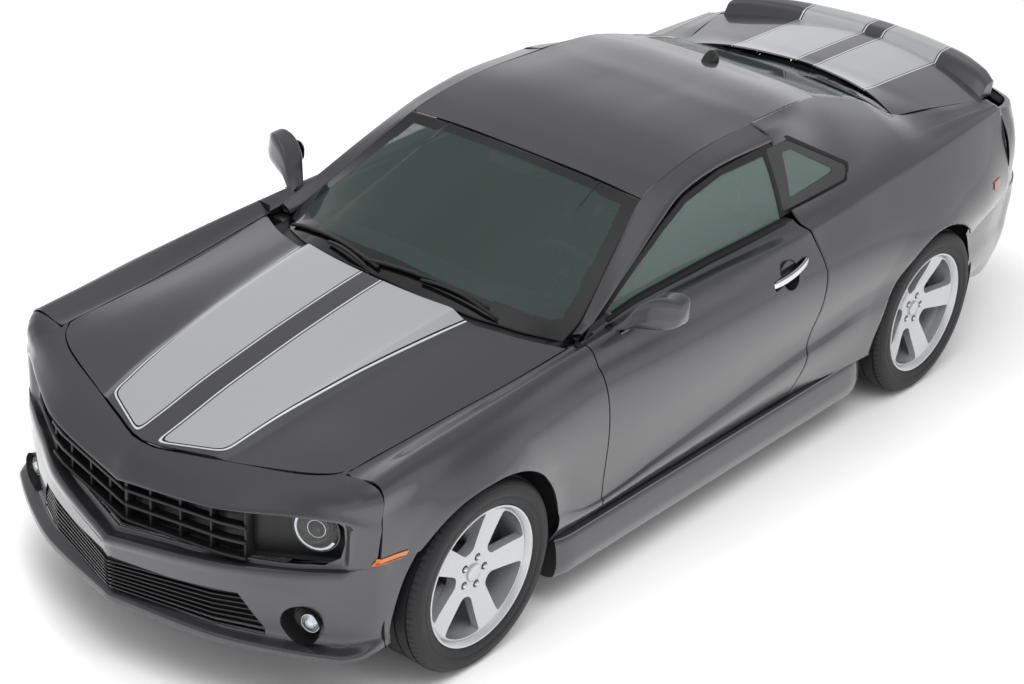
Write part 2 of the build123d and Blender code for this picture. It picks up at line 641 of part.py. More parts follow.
# Open cells between the bars, (bottom z, top z) of each row; a row follows the V of the nose.
CELL_PITCH = 96.0
CELL_WIDTH = 82.0
CELL_COLUMNS = 5
for column in range(CELL_COLUMNS):
    x0 = CELL_PITCH * column + (CELL_PITCH - CELL_WIDTH) / 2
    rise = x0 * 0.045
    for low, high in ((536, 584), (598, 642), (656, 688)):
        grille_upper -= front_prism([(x0, low + rise), (x0 + CELL_WIDTH, low + rise),
                                     (x0 + CELL_WIDTH, high + rise), (x0, high + rise)], -900, -600)
for low, high in ((306, 330), (342, 366), (378, 402)):
    grille_lower -= front_prism([(12, low), (500, low), (500, high), (12, high)], -900, -600)
bumper -= fog_room
bumper -= front_prism([(-10, 300), (-10, 412), (520, 412), (560, 360), (545, 300)], -900, -700)
bumper = max(bumper.solids(), key=lambda s: s.volume)
grille_lower -= bumper
grille_lower = max(grille_lower.solids(), key=lambda s: s.volume)
write("front_lamps", both_sides(headlamp) + both_sides(fog_lamp))
write("grilles", [joined(grille_upper), joined(grille_lower)])
write("front_bumper", joined(bumper))


# ---------------------------------------------------------------- wheels
def turned(profile):
    """Solid of revolution about X from (x, r) points."""
    face = make_face(Polyline(*[(x, r) for x, r in profile], close=True))
    return revolve(face, Axis.X, 360)


HUB_SLEEVE = (-42.0, 46.0)
DISC_X = (-34.0, -34.0 + DISC_THICKNESS)
SPINDLE_END = HUB_SLEEVE[1] - 4


def wheel(width):
    """Rim with its five spokes, hub and brake disc; +X is its outer side."""
    half = width / 2 - 8
    barrel = turned([(half, RIM_LIP_RADIUS), (half, RIM_LIP_RADIUS - 12), (half - 24, RIM_BORE_RADIUS),
                     (-half, RIM_BORE_RADIUS), (-half, RIM_LIP_RADIUS)])
    hub = turned([(HUB_SLEEVE[0], SPINDLE_RADIUS + RUNNING_FIT), (HUB_SLEEVE[1], SPINDLE_RADIUS + RUNNING_FIT),
                  (HUB_SLEEVE[1], 0), (HUB_SLEEVE[1] + 26, 0), (HUB_SLEEVE[1] + 26, 78), (HUB_SLEEVE[1], 84),
                  (HUB_SLEEVE[1] - 20, 60), (DISC_X[1], 60), (DISC_X[1], DISC_RADIUS), (DISC_X[0], DISC_RADIUS),
                  (DISC_X[0], 52), (HUB_SLEEVE[0], 40)])
    rim = barrel + hub
    for i in range(SPOKE_COUNT):
        inner = Wire.make_polygon([(HUB_SLEEVE[1] - 4, -38, 60), (HUB_SLEEVE[1] + 24, -38, 60),
                                   (HUB_SLEEVE[1] + 24, 38, 60), (HUB_SLEEVE[1] - 4, 38, 60)], close=True)
        outer = Wire.make_polygon([(half - 56, -50, 246), (half - 22, -50, 246),
                                   (half - 22, 50, 246), (half - 56, 50, 246)], close=True)
        spoke = Solid.make_loft([inner, outer], ruled=True)
        rim += Location((0, 0, 0), (i * 360 / SPOKE_COUNT, 0, 0)) * spoke
    return rim


TYRE_SHOULDER = 22.0
TYRE_SEAT = RIM_LIP_RADIUS + SEAM


def tyre(width):
    half = width / 2
    right = [(half - 14, TYRE_SEAT), (half - 4, TYRE_SEAT + 12), (half, TYRE_SEAT + 42),
             (half - 6, TYRE_RADIUS - TYRE_SHOULDER), (half - TYRE_SHOULDER, TYRE_RADIUS - 5),
             (half - 2.2 * TYRE_SHOULDER, TYRE_RADIUS)]
    return turned(right + [(-x, r) for x, r in right[::-1]])


WHEELS = [
    ("front_left", 1, FRONT_TRACK, FRONT_AXLE_Y, FRONT_TYRE_WIDTH),
    ("front_right", -1, FRONT_TRACK, FRONT_AXLE_Y, FRONT_TYRE_WIDTH),
    ("rear_left", 1, REAR_TRACK, REAR_AXLE_Y, REAR_TYRE_WIDTH),
    ("rear_right", -1, REAR_TRACK, REAR_AXLE_Y, REAR_TYRE_WIDTH),
]
for name, side, track, axle_y, width in WHEELS:
    for kind, shape in (("wheel", wheel(width)), ("tyre", tyre(width))):
        seated = Location((track / 2, axle_y, TYRE_RADIUS)) * shape
        write(f"{kind}_{name}", seated if side == 1 else mirror(seated, about=Plane.YZ))

# ---------------------------------------------------------------- axles and knuckles
KINGPIN_X = FRONT_TRACK / 2 - KINGPIN_INSET
BOSS_RADIUS = 20.0
BOSS_Z = (TYRE_RADIUS - 100, TYRE_RADIUS + 100)
CALIPER_RADIUS = 208.0


def carrier(axis_x, hub_x, boss):
    """Upright with its spindle and brake caliper; hub_x is the wheel's centre plane."""
    body = rod((axis_x, 0, boss[0]), (axis_x, 0, boss[1]), BOSS_RADIUS)
    body += rod((axis_x, 0, TYRE_RADIUS), (hub_x + SPINDLE_END, 0, TYRE_RADIUS), SPINDLE_RADIUS)
    shoe = Location((hub_x + (DISC_X[0] + DISC_X[1]) / 2, 0, TYRE_RADIUS), (0, 90, 0)) * (
        Cylinder(CALIPER_RADIUS, DISC_THICKNESS + 40) - Cylinder(CALIPER_RADIUS - 78, DISC_THICKNESS + 50)
        - Cylinder(DISC_RADIUS + 6, DISC_THICKNESS + 8))
    shoe &= Location((hub_x, 160, TYRE_RADIUS)) * Box(300, 150, 190)
    body += shoe
    reach = hub_x + DISC_X[0] - 8 - axis_x
    body += Location((axis_x + reach / 2, 80, TYRE_RADIUS)) * Box(reach, 160, 60)
    return body


knuckle = carrier(KINGPIN_X, FRONT_TRACK / 2, BOSS_Z)
knuckle -= rod((KINGPIN_X, 0, BOSS_Z[0] - 10), (KINGPIN_X, 0, BOSS_Z[1] + 10), KINGPIN_RADIUS + RUNNING_FIT)
knuckle = Location((0, FRONT_AXLE_Y, 0)) * knuckle
write("knuckle_left", knuckle)
write("knuckle_right", mirror(knuckle, about=Plane.YZ))

FRAME_RAIL_X = (380.0, 440.0)
RAIL_Z = (BOSS_Z[0] + SEAM, BOSS_Z[0] + 90)
lower_arm = Location(((KINGPIN_X + FRAME_RAIL_X[0]) / 2, FRONT_AXLE_Y, BOSS_Z[0] - SEAM - 14)) * Box(
    KINGPIN_X - FRAME_RAIL_X[0] + 20, 56, 28)
kingpin = Location((0, FRONT_AXLE_Y, 0)) * rod((KINGPIN_X, 0, BOSS_Z[0] - 20), (KINGPIN_X, 0, BOSS_Z[1] + 14),
                                               KINGPIN_RADIUS)
STRUT_X = 600.0
STRUT_TOP = 780.0
upper_arm = Location(((KINGPIN_X + STRUT_X) / 2, FRONT_AXLE_Y, BOSS_Z[1] + SEAM + 11)) * Box(
    KINGPIN_X - STRUT_X + 34, 44, 22)
strut = rod((STRUT_X, FRONT_AXLE_Y, BOSS_Z[1] + SEAM), (STRUT_X, FRONT_AXLE_Y, up(STRUT_TOP) - SEAM), 28)
front_arm = lower_arm + kingpin + upper_arm + strut
cross_beam = Location((0, FRONT_AXLE_Y, BOSS_Z[0] - 36)) * Box(2 * FRAME_RAIL_X[0] + 20, 120, 56)
front_suspension = cross_beam + front_arm + mirror(front_arm, about=Plane.YZ)
write("front_suspension", front_suspension)

rear_carrier = Location((0, REAR_AXLE_Y, 0)) * carrier(REAR_TRACK / 2 - KINGPIN_INSET, REAR_TRACK / 2,
                                                       (TYRE_RADIUS - 90, TYRE_RADIUS + 90))
REAR_ARM_Z = (TYRE_RADIUS - 94, TYRE_RADIUS - 64)
SPRING_X = 560.0
SPRING_TOP = 720.0
rear_arm = Location(((330 + REAR_TRACK / 2 - KINGPIN_INSET + 12) / 2, REAR_AXLE_Y, sum(REAR_ARM_Z) / 2)) * Box(
    REAR_TRACK / 2 - KINGPIN_INSET + 12 - 330, 80, REAR_ARM_Z[1] - REAR_ARM_Z[0])
spring = rod((SPRING_X, REAR_AXLE_Y, REAR_ARM_Z[1] - 10), (SPRING_X, REAR_AXLE_Y, up(SPRING_TOP) - SEAM), 28)
rear_half = rear_carrier + rear_arm + spring
shaft = rod((100, REAR_AXLE_Y, TYRE_RADIUS), (REAR_TRACK / 2 - KINGPIN_INSET, REAR_AXLE_Y, TYRE_RADIUS), 20)
rear_half += shaft
final_drive = Location((0, REAR_AXLE_Y - 20, TYRE_RADIUS)) * Box(240, 300, 220)
rear_beam = Location((0, REAR_AXLE_Y, REAR_ARM_Z[1] - 50)) * Box(680, 120, 100)
rear_suspension = final_drive + rear_beam + rear_half + mirror(rear_half, about=Plane.YZ)
write("rear_suspension", rear_suspension)

# ---------------------------------------------------------------- floor, sills and cabin
floor = plan_prism([(-720, 440), (720, 440), (720, 2380), (560, 2400), (560, 2640), (-560, 2640),
                    (-560, 2400), (-720, 2380)], FLOOR_Z, FLOOR_Z + FLOOR_THICKNESS)
floor += box(-500, 500, 2610, 3110, 486, 512) + box(-500, 500, 3084, 3110, 320, 512)
floor += plan_prism([(-560, 3084), (560, 3084), (560, 3560), (240, 3830), (-240, 3830), (-560, 3560)], 320, 346)
floor += box(-240, 240, 3804, 3830, 320, 780)
tunnel = box(-150, 150, 520, 2100, FLOOR_Z, 400)
firewall = box(-700, 700, 470, 500, FLOOR_Z, 900)
bulkhead = box(-560, 560, 2610, 2640, FLOOR_Z, 1030)
shelf = box(-700, 700, 2610, 2990, 1000, 1030)
floor_pan = floor + tunnel + firewall + bulkhead + shelf
for side in (1, -1):
    rail = box(*FRAME_RAIL_X, -560, 480, drawn(RAIL_Z[0]), drawn(RAIL_Z[1]))
    rail += box(425, 440, -130, 130, drawn(RAIL_Z[1] - 34), 800)
    rail += box(425, 660, -70, 70, STRUT_TOP, 800)
    pin_y, pin_z = along(3012), up(1112)
    shelf_pin = box(322, 334, 2985, 3030, 1010, 1122)
    shelf_pin += Location((across(310), pin_y, pin_z), (0, 90, 0)) * Cylinder(5, across(36))
    half = rail + shelf_pin
    floor_pan += half if side == 1 else mirror(half, about=Plane.YZ)
floor_pan -= arch(REAR_AXLE_Y, HOUSE_RADIUS) & box(600, FAR, 2000, 3600, 0, 950)
floor_pan -= arch(REAR_AXLE_Y, HOUSE_RADIUS) & box(-FAR, -600, 2000, 3600, 0, 950)
spring_top = box(500, 600, 2630, 2912, SPRING_TOP, SPRING_TOP + 30)
floor_pan += spring_top + mirror(spring_top, about=Plane.YZ)
write("floor_pan", floor_pan)

sill = front_prism([(720 + SEAM, FLOOR_Z), (760, SILL_BOTTOM), (875, SILL_BOTTOM), (900, 200), (924, SILL_TOP),
                    (720 + SEAM, SILL_TOP)], 430, 2420)
sill -= arch(FRONT_AXLE_Y, HOUSE_RADIUS)
sill -= arch(REAR_AXLE_Y, HOUSE_RADIUS)
write("sills", both_sides(sill))

FLOOR_TOP = FLOOR_Z + FLOOR_THICKNESS + SEAM
engine = box(-290, 290, -280, 400, drawn(BOSS_Z[0] - 8 + SEAM), 800)
write("engine", engine)

dashboard = front_prism([(-690, 640), (-690, 900), (-420, 930), (0, 915), (420, 945), (690, 900), (690, 640)],
                        510, 900)
dashboard &= side_prism([(505, 640), (505, 930), (620, 960), (820, 940), (900, 860), (880, 700), (820, 640)],
                        -FAR, FAR)

seat_base = box(-250, 250, 1330, 1850, FLOOR_TOP, 480)
seat_back = side_prism([(1740, 480), (1900, 470), (2060, 960), (1990, 1130), (1920, 1130), (1850, 900)], -240, 240)
seat = seat_base + seat_back
seats = [Location((side * across(400), 0, 0)) * seat for side in (1, -1)]
write("front_seats", seats)
rear_seat = box(-540, 540, 2150, 2600, FLOOR_TOP, 480) + box(-540, 540, 2460, 2600, 480, 960)
write("rear_seat", rear_seat)

COLUMN_TILT = 22.0
WHEEL_CENTRE = (370, 1120, 905)
rim_ring = Torus(178, 15)
steering = rim_ring + Location((0, 0, -14)) * Cylinder(62, 40)
for turn in (0, 120, 240):
    steering += Location((0, 0, 0), (0, 0, turn + 90)) * Location((110, 0, -6)) * Box(150, 34, 14)
steering += Location((0, 0, -90)) * Cylinder(22, 150)
on_column = Location(place(*WHEEL_CENTRE), (COLUMN_TILT - 90, 0, 0))
write("steering_wheel", on_column * steering)
column = on_column * (Location((0, 0, -165 - SEAM - 75)) * Cylinder(36, 150))
write("dashboard", dashboard + column)

for side in (1, -1):
    neck = side_prism([(3005, 1122), (3020, 1122), (3020, 1010), (3165, 1010), (3165, 1110), (3180, 1110),
                       (3180, 994), (3004, 994)], 0, 12)
    eye = Location((6, pin_y, pin_z), (0, 90, 0)) * Cylinder(12, 12)
    hole = Location((6, pin_y, pin_z), (0, 90, 0)) * Cylinder(5 + RUNNING_FIT, 30)
    neck = Location((across(300) - 6, 0, 0)) * (neck + eye - hole)
    boot_lid += neck if side == 1 else mirror(neck, about=Plane.YZ)
write("boot_lid", boot_lid)

# ---------------------------------------------------------------- tail lamps, markers and small pieces
LENS_DEPTH = 8.0
tail_lamps = []
for x0, x1 in ((480, 610), (635, 765)):
    lens = front_prism([(x0, 815), (x1, 815), (x1, 925), (x0, 925)], 3700, 3960)
    lens &= fan_shell([(x, d, t, [(r + LENS_DEPTH, z) for r, z in chain]) for x, d, t, chain in TAIL], PANEL)
    lens -= tail
    tail_lamps.append(max(lens.solids(), key=lambda s: s.volume))
write("tail_lamps", [s for lens in tail_lamps for s in both_sides(lens)])

MARKER_PROUD = 5.0
# Amber front lens and red rear lens: side outline (d, z), then the body's plan line (x, d) behind it.
MARKERS = [
    ([(-497, 609), (-378, 609), (-364, 635), (-481, 635)], [(842, -500), (874, -456), (890, -360)]),
    ([(3352, 772), (3430, 772), (3426, 806), (3356, 806)], [(915, 3350), (899, 3432)]),
]
markers = []
for outline, line in MARKERS:
    band = [(x + MARKER_PROUD, d) for x, d in line] + [(x - PANEL, d) for x, d in line[::-1]]
    lens = side_prism(outline, 0, FAR) & plan_prism(band, 500, 900)
    for neighbour in (fender, nose, bumper, quarter):
        lens -= neighbour
    markers.extend(both_sides(max(lens.solids(), key=lambda s: s.bounding_box().max.X)))
write("side_markers", markers)

ANTENNA_WIDTH = 24.0
antenna = side_prism([(2360, 1335), (2480, 1305), (2472, 1362), (2440, 1370)], -ANTENNA_WIDTH / 2, ANTENNA_WIDTH / 2)
antenna -= roof
antenna = Location((0, 0, SEAM)) * max(antenna.solids(), key=lambda s: s.volume)
write("antenna_fin", antenna)

PIPE_RADIUS = 30.0
pipe_z = FLOOR_Z - PIPE_RADIUS - SEAM
pipe = rod((250, along(560), pipe_z), (250, along(3300), pipe_z), PIPE_RADIUS)
silencer = box(150, 480, 3200, 3680, 110, 320 - SEAM)
TIP_X = 420.0
TIP_Z = 205.0
TIP_RADIUS = 42.0
TIP_WALL = 4.0
tip = rod((TIP_X, along(3640), TIP_Z), (TIP_X, along(3905), TIP_Z), TIP_RADIUS)
tip -= rod((TIP_X, along(3700), TIP_Z), (TIP_X, along(3910), TIP_Z), TIP_RADIUS - TIP_WALL)
write("exhaust", both_sides(pipe + silencer + tip))
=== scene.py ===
# %% [markdown]
# A two-door muscle car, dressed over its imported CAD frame. The CAD gives the places and the joints;
# this lesson gives the smooth panels, the paint, the glass, the wheels and the cabin.
# %% Load the frame
import bpy
import bmesh
from math import atan2, cos, hypot, pi, radians, sin
from mathutils import Matrix, Vector
from mathutils.bvhtree import BVHTree


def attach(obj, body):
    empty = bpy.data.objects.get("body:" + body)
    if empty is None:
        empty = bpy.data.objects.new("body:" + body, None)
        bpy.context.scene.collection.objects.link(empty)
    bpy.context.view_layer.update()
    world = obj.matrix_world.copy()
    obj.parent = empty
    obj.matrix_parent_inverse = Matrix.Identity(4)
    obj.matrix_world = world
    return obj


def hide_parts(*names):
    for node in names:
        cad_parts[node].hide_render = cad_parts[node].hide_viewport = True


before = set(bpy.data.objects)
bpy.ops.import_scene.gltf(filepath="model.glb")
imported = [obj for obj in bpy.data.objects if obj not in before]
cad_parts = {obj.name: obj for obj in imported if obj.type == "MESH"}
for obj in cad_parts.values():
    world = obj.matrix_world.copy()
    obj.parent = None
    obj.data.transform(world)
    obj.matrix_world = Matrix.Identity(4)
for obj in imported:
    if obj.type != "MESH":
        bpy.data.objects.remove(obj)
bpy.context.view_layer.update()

# %% [markdown]
# Every size is written as on the car's drawing: x across from the centre plane, d behind the front
# axle, z above the ground, in millimetres. One function turns them to metres in the shared frame.
# %% Places
FRONT_AXLE_Y = -1.533
REAR_AXLE = 2852
TYRE_RADIUS = 0.364
AXLE_Z = 364
ARCH_RADIUS = 405
SHUT = 5
# Half length of a cutter that goes right through the body.
THROUGH = 1200
PAINT_HEX = "47474A"


def place(x, d, z):
    """Place in the shared frame, in metres, of a point of the drawing in mm."""
    return Vector((x / 1000, FRONT_AXLE_Y + d / 1000, z / 1000))


def behind(point):
    """Distance of a place behind the front axle, in mm."""
    return (point.y - FRONT_AXLE_Y) * 1000


def axle(d_axle):
    return place(0, d_axle, AXLE_Z)


# %% [markdown]
# A material is a small graph of nodes. One function adds a node, sets it and links it: a value that is the
# same all over the surface is set on the socket itself, so that it would survive an export.
# %% Nodes and colours
def linear(hex_text):
    """Linear colour of an sRGB hex value."""
    parts = [int(hex_text[i:i + 2], 16) / 255 for i in (0, 2, 4)]
    return [c / 12.92 if c <= 0.04045 else ((c + 0.055) / 1.055) ** 2.4 for c in parts] + [1.0]


def node(tree, kind, settings, inputs):
    """Add one node; inputs are values to set or sockets to link."""
    made = tree.nodes.new("ShaderNode" + kind)
    for name, value in settings.items():
        setattr(made, name, value)
    for name, value in inputs.items():
        if isinstance(value, bpy.types.NodeSocket):
            tree.links.new(value, made.inputs[name])
        else:
            made.inputs[name].default_value = value
    return made


finishes = {}


def finish(name, slot, hex_text, roughness, metallic=0.0, grain_mm=2.0, bump_mm=0.02, vary=0.15, **sockets):
    """Finish with a fine grain: grain_mm is its spacing, bump_mm its height, vary its share of roughness."""
    made = bpy.data.materials.new(name)
    made.use_nodes = True
    tree = made.node_tree
    shader = tree.nodes["Principled BSDF"]
    shader.inputs["Base Color"].default_value = linear(hex_text)
    shader.inputs["Metallic"].default_value = metallic
    for socket, value in sockets.items():
        shader.inputs[socket.replace("_", " ")].default_value = value
    where = node(tree, "TexCoord", {}, {})
    grain = node(tree, "TexNoise", {}, {"Vector": where.outputs["Object"], "Scale": 1000 / grain_mm,
                                        "Detail": 3.0})
    rough = node(tree, "MapRange", {}, {"Value": grain.outputs["Fac"], "To Min": roughness * (1 - vary),
                                        "To Max": min(1.0, roughness * (1 + vary))})
    tree.links.new(rough.outputs["Result"], shader.inputs["Roughness"])
    if bump_mm:
        bump = node(tree, "Bump", {}, {"Height": grain.outputs["Fac"], "Distance": bump_mm / 1000,
                                       "Strength": 1.0})
        tree.links.new(bump.outputs["Normal"], shader.inputs["Normal"])
    finishes[name] = (made, slot)
    return made


# %% [markdown]
# The panels are pressed steel in a mid grey metallic lacquer: aluminium flakes under a clear coat. The
# flakes are far finer than a render can show, so they are drawn about 1.5 mm apart, faintly.
# Two wide silver stripes with a white and a black pinstripe run over hood, boot lid and spoiler.
# %% Paint
def metallic_paint(name, slot):
    made = finish(name, slot, PAINT_HEX, 0.34, 0.75, 1.5, 0.0, 0.1, Coat_Weight=1.0, Coat_Roughness=0.03)
    tree = made.node_tree
    shader = tree.nodes["Principled BSDF"]
    where = node(tree, "TexCoord", {}, {})
    flake = node(tree, "TexVoronoi", {}, {"Vector": where.outputs["Object"], "Scale": 1000 / 1.5})
    tone = node(tree, "MapRange", {}, {"Value": flake.outputs["Color"], "To Min": 0.9, "To Max": 1.1})
    return made, tree, shader, where, tone


def flaked(tree, base, tone):
    """Base colour times the flakes' tone."""
    return node(tree, "VectorMath", {"operation": "SCALE"},
                {0: base, "Scale": tone.outputs["Result"]}).outputs["Vector"]


paint, tree, shader, where, tone = metallic_paint("grey_metallic_lacquer", "body_paint")
tree.links.new(flaked(tree, linear(PAINT_HEX)[:3], tone), shader.inputs["Base Color"])
print("paint with flakes", len(tree.nodes), "nodes")

# %% [markdown]
# The stripes are a mask on Object coordinates, not a picture: how far a point lies from the stripe's
# inner and outer edges. The outer edge widens towards the windscreen, as the power bulge does.
# %% Striped paint
def striped(name, inner, outer_front, outer_rear, front_y, rear_y, slope, end_y=None):
    """Paint with two stripes; all in metres. The outer edge runs from outer_front at front_y to outer_rear
    at rear_y. slope and end_y give the stripe's own front end: a line that falls back from the centre."""
    made, tree, shader, where, tone = metallic_paint(name, "body_paint")
    part = node(tree, "SeparateXYZ", {}, {"Vector": where.outputs["Object"]})

    def calc(operation, a, b=0.0, clamp=False):
        return node(tree, "Math", {"operation": operation, "use_clamp": clamp}, {0: a, 1: b}).outputs["Value"]

    x = calc("ABSOLUTE", part.outputs["X"])
    spread = {"Value": part.outputs["Y"], "From Min": front_y, "From Max": rear_y, "To Min": outer_front,
              "To Max": outer_rear}
    outer = node(tree, "MapRange", {"clamp": False}, spread).outputs["Result"]
    inside = calc("MINIMUM", calc("SUBTRACT", x, inner), calc("SUBTRACT", outer, x))
    if end_y is not None:
        line = calc("ADD", calc("MULTIPLY", x, slope), end_y)
        inside = calc("SMOOTH_MIN", inside, calc("SUBTRACT", part.outputs["Y"], line))
        inside.node.inputs[2].default_value = 0.05
    last = flaked(tree, linear(PAINT_HEX)[:3], tone)
    for edge, hex_text in ((-0.009, "E2E3E4"), (-0.0025, "0E0E10"), (0.003, "B9BABD")):
        mask = calc("MULTIPLY", calc("SUBTRACT", inside, edge), 4000.0, True)
        last = node(tree, "Mix", {"data_type": "RGBA"},
                    {"Factor": mask, 6: last, 7: linear(hex_text)}).outputs[2]
    tree.links.new(last, shader.inputs["Base Color"])
    return made


hood_paint = striped("striped_lacquer_hood", 0.053, 0.270, 0.402, -2.119, -1.113, 0.42, -2.236)
boot_paint = striped("striped_lacquer_boot", 0.053, 0.345, 0.362, 1.65, 2.3, 0.0)
print("striped paints made")

# %% [markdown]
# The other finishes start from what they are: glass, cast aluminium, moulded plastic, rubber, leather.
# %% Other finishes
black_plastic = finish("grained_black_moulding", "black_plastic", "141415", 0.45, 0.0, 0.8, 0.03)
gloss_black = finish("piano_black_trim", "trim_black", "08080A", 0.12, 0.0, 3.0, 0.0, Coat_Weight=0.6)
frit = finish("black_glass_frit", "trim_black", "0B0C0D", 0.08, 0.0, 3.0, 0.0, Coat_Weight=0.3,
              Coat_Roughness=0.02)
rubber = finish("weatherstrip_rubber", "trim_black", "0D0D0E", 0.62, 0.0, 1.0, 0.03)
tyre_rubber = finish("moulded_tyre_compound", "tyre_rubber", "17171A", 0.6, 0.0, 1.2, 0.04)
wheel_alloy = finish("silver_painted_cast_alloy", "wheel_silver", "C2C3C5", 0.26, 0.55, 1.4, 0.0,
                     Coat_Weight=0.8,
                     Coat_Roughness=0.05)
chrome = finish("chromed_steel", "cast_metal", "D9DADC", 0.08, 1.0, 2.0, 0.0)
dull_steel = finish("turned_brake_steel", "forged_steel", "77777A", 0.32, 1.0, 1.0, 0.02)
dark_steel = finish("painted_chassis_steel", "chassis_black", "1B1B1D", 0.5, 0.0, 3.0, 0.05)
cast_iron = finish("cast_iron", "cast_metal", "4B4A48", 0.6, 0.7, 2.5, 0.15)
stainless = finish("brushed_stainless", "exhaust_steel", "A9A9AB", 0.25, 1.0, 1.5, 0.01)
liner_felt = finish("moulded_felt_liner", "black_plastic", "0E0E0F", 0.9, 0.0, 2.0, 0.3)
leather = finish("black_seat_leather", "seat_cover", "232427", 0.48, 0.0, 2.2, 0.12)
carpet = finish("loop_pile_carpet", "trim_black", "151517", 0.95, 0.0, 2.5, 0.6)
lamp_red = finish("red_lamp_acrylic", "lamp_red", "8E0B10", 0.1, 0.0, 4.0, 0.0, Coat_Weight=1.0)
lamp_amber = finish("amber_lamp_acrylic", "lamp_amber", "C96A18", 0.18, 0.0, 4.0, 0.0, Coat_Weight=1.0)
lamp_white = finish("opal_light_guide", "lamp_clear", "EDEEEF", 0.25, 0.0, 4.0, 0.0,
                    Emission_Color=linear("EEF2F6"),
                    Emission_Strength=0.5)
reflector = finish("vapour_plated_reflector", "lamp_clear", "C9CBCE", 0.12, 1.0, 6.0, 0.0)
print(len(finishes), "finishes")

# %% [markdown]
# Window glass is float glass with a green tint, laminated in the windscreen and tempered at the sides. The
# windscreen and rear window get a darker copy of the same glass: that darkness is painted shade. Glass could
# refract, but thin bent panes scatter few rays well, so they are see-through by Alpha instead, under a
# mirror-smooth surface. Lamp lenses are clear polycarbonate and do refract.
# %% Glass
GLASS_LOOK = {"IOR": 1.52, "Alpha": 0.42}
# The same green glass as the side glass below, made darker: painted shade on windscreen and rear window.
glass_with_painted_shade = finish("green_tinted_glass_painted_darker", "window_glass", "34403D", 0.02, 0.0, 40.0, 0.0,
                      **GLASS_LOOK)
side_glass = finish("green_tinted_tempered_glass", "window_glass", "6A7B76", 0.02, 0.0, 40.0, 0.0,
                    **GLASS_LOOK)
lens = finish("clear_polycarbonate_lens", "lamp_clear", "F2F4F5", 0.0, 0.0, 40.0, 0.0,
              Transmission_Weight=1.0, IOR=1.5)
print("glass and lens made")

# %% [markdown]
# The body is a set of smooth skins. A skin is a table of feature lines: each row is a section of the
# car, each column one line that runs along it, such as the belt or the sill. Between rows a line bends
# smoothly; at a column the section turns either softly, as over a shoulder, or sharply, as at a crease.
# %% Skins
def spline(points, t):
    """Catmull-Rom curve through points at t from 0 to their count less one."""
    i = max(0, min(int(t), len(points) - 2))
    f = t - i
    b, c = points[i], points[i + 1]
    a = points[i - 1] if i else b * 2 - c
    d = points[i + 2] if i + 2 < len(points) else c * 2 - b
    near, far = (c - b).length, 0.0
    slope_b = (c - a) * (near / max(1e-9, (b - a).length + near))
    slope_c = (d - b) * (near / max(1e-9, (d - c).length + near))
    f2, f3 = f * f, f * f * f
    ends = b * (2 * f3 - 3 * f2 + 1) + slope_b * (f3 - 2 * f2 + f)
    return ends + c * (3 * f2 - 2 * f3) + slope_c * (f3 - f2)


def rounded(chain, softness, s):
    """Point s along a section's chain, its corners rounded by their softness, 0.5 the most."""
    last = len(chain) - 1
    i = max(0, min(int(s + 0.5), last))
    w = softness[i] if 0 < i < last else 0.0
    if w and abs(s - i) < w:
        before, after = chain[i - 1], chain[i + 1]
        corner = (chain[i] - (before + after) * (w / 4)) / (1 - w / 2)
        start, end = corner.lerp(before, w), corner.lerp(after, w)
        f = (s - i + w) / (2 * w)
        return start.lerp(corner, f).lerp(corner.lerp(end, f), f)
    i = max(0, min(int(s), last - 1))
    ends = []
    for j, k in ((i, i + 1), (i + 1, i)):
        w = softness[j] if 0 < j < last else 0.0
        if w:
            corner = (chain[j] - (chain[j - 1] + chain[j + 1]) * (w / 4)) / (1 - w / 2)
            ends.append((corner, w))
        else:
            ends.append((chain[j], 0.0))
    (a, wa), (b, wb) = ends
    start, end = a.lerp(chain[i + 1], wa) if wa else a, b.lerp(chain[i], wb) if wb else b
    f = (s - i - wa) / max(1e-9, 1 - wa - wb)
    return start.lerp(end, max(0.0, min(1.0, f)))


class Skin:
    """Surface on a table of feature lines: at(r, s) is the point at row r and column s."""
    def __init__(self, rows, softness):
        self.columns = [list(column) for column in zip(*rows)]
        self.softness = softness

    def soft(self, r):
        if not isinstance(self.softness[0], list):
            return self.softness
        i = max(0, min(int(r), len(self.softness) - 2))
        return [a + (b - a) * (r - i) for a, b in zip(self.softness[i], self.softness[i + 1])]

    def at(self, r, s):
        return rounded([spline(column, r) for column in self.columns], self.soft(r), s)

    def line(self, s):
        """Row values against the place along the car at one s."""
        steps = 12 * (len(self.columns[0]) - 1)
        return [(i / 12, behind(self.at(i / 12, s))) for i in range(steps + 1)]


def between(line, z):
    """Value of a table of (value, z) at the height z, straight between its points."""
    for (a, za), (b, zb) in zip(line, line[1:]):
        if z <= zb:
            break
    return a + (b - a) * (z - za) / (zb - za)


# %% [markdown]
# A skin only says where points lie. A sheet is a grid of faces laid on it by a function of u and v, so a
# panel's faces follow its edges. Only one half of a symmetric piece is drawn and then mirrored.
# %% Sheets and mirrored halves
def mesh_object(name, bm, materials, smooth=True):
    """Scene object from a bmesh, its place kept in its mesh."""
    mesh = bpy.data.meshes.new(name)
    bm.to_mesh(mesh)
    bm.free()
    for material in materials:
        mesh.materials.append(finishes[material.name][0])
    made = bpy.data.objects.new(name, mesh)
    bpy.context.scene.collection.objects.link(made)
    if smooth:
        mesh.shade_smooth()
    return made


def sheet(nu, nv, at, outward):
    """Grid of nu by nv faces laid on at(u, v); outward is a point that its faces look away from."""
    bm = bmesh.new()
    bmesh.ops.create_grid(bm, x_segments=nu, y_segments=nv, size=0.5)
    for vert in bm.verts:
        vert.co = at(vert.co.x + 0.5, vert.co.y + 0.5)
    bm.normal_update()
    middle = bm.faces[:][len(bm.faces) // 2]
    if middle.normal.dot(middle.calc_center_median() - outward) < 0:
        bmesh.ops.reverse_faces(bm, faces=bm.faces)
    return bm


def verts_of(geom):
    """The corners among what an operator made."""
    return [g for g in geom if isinstance(g, bmesh.types.BMVert)]


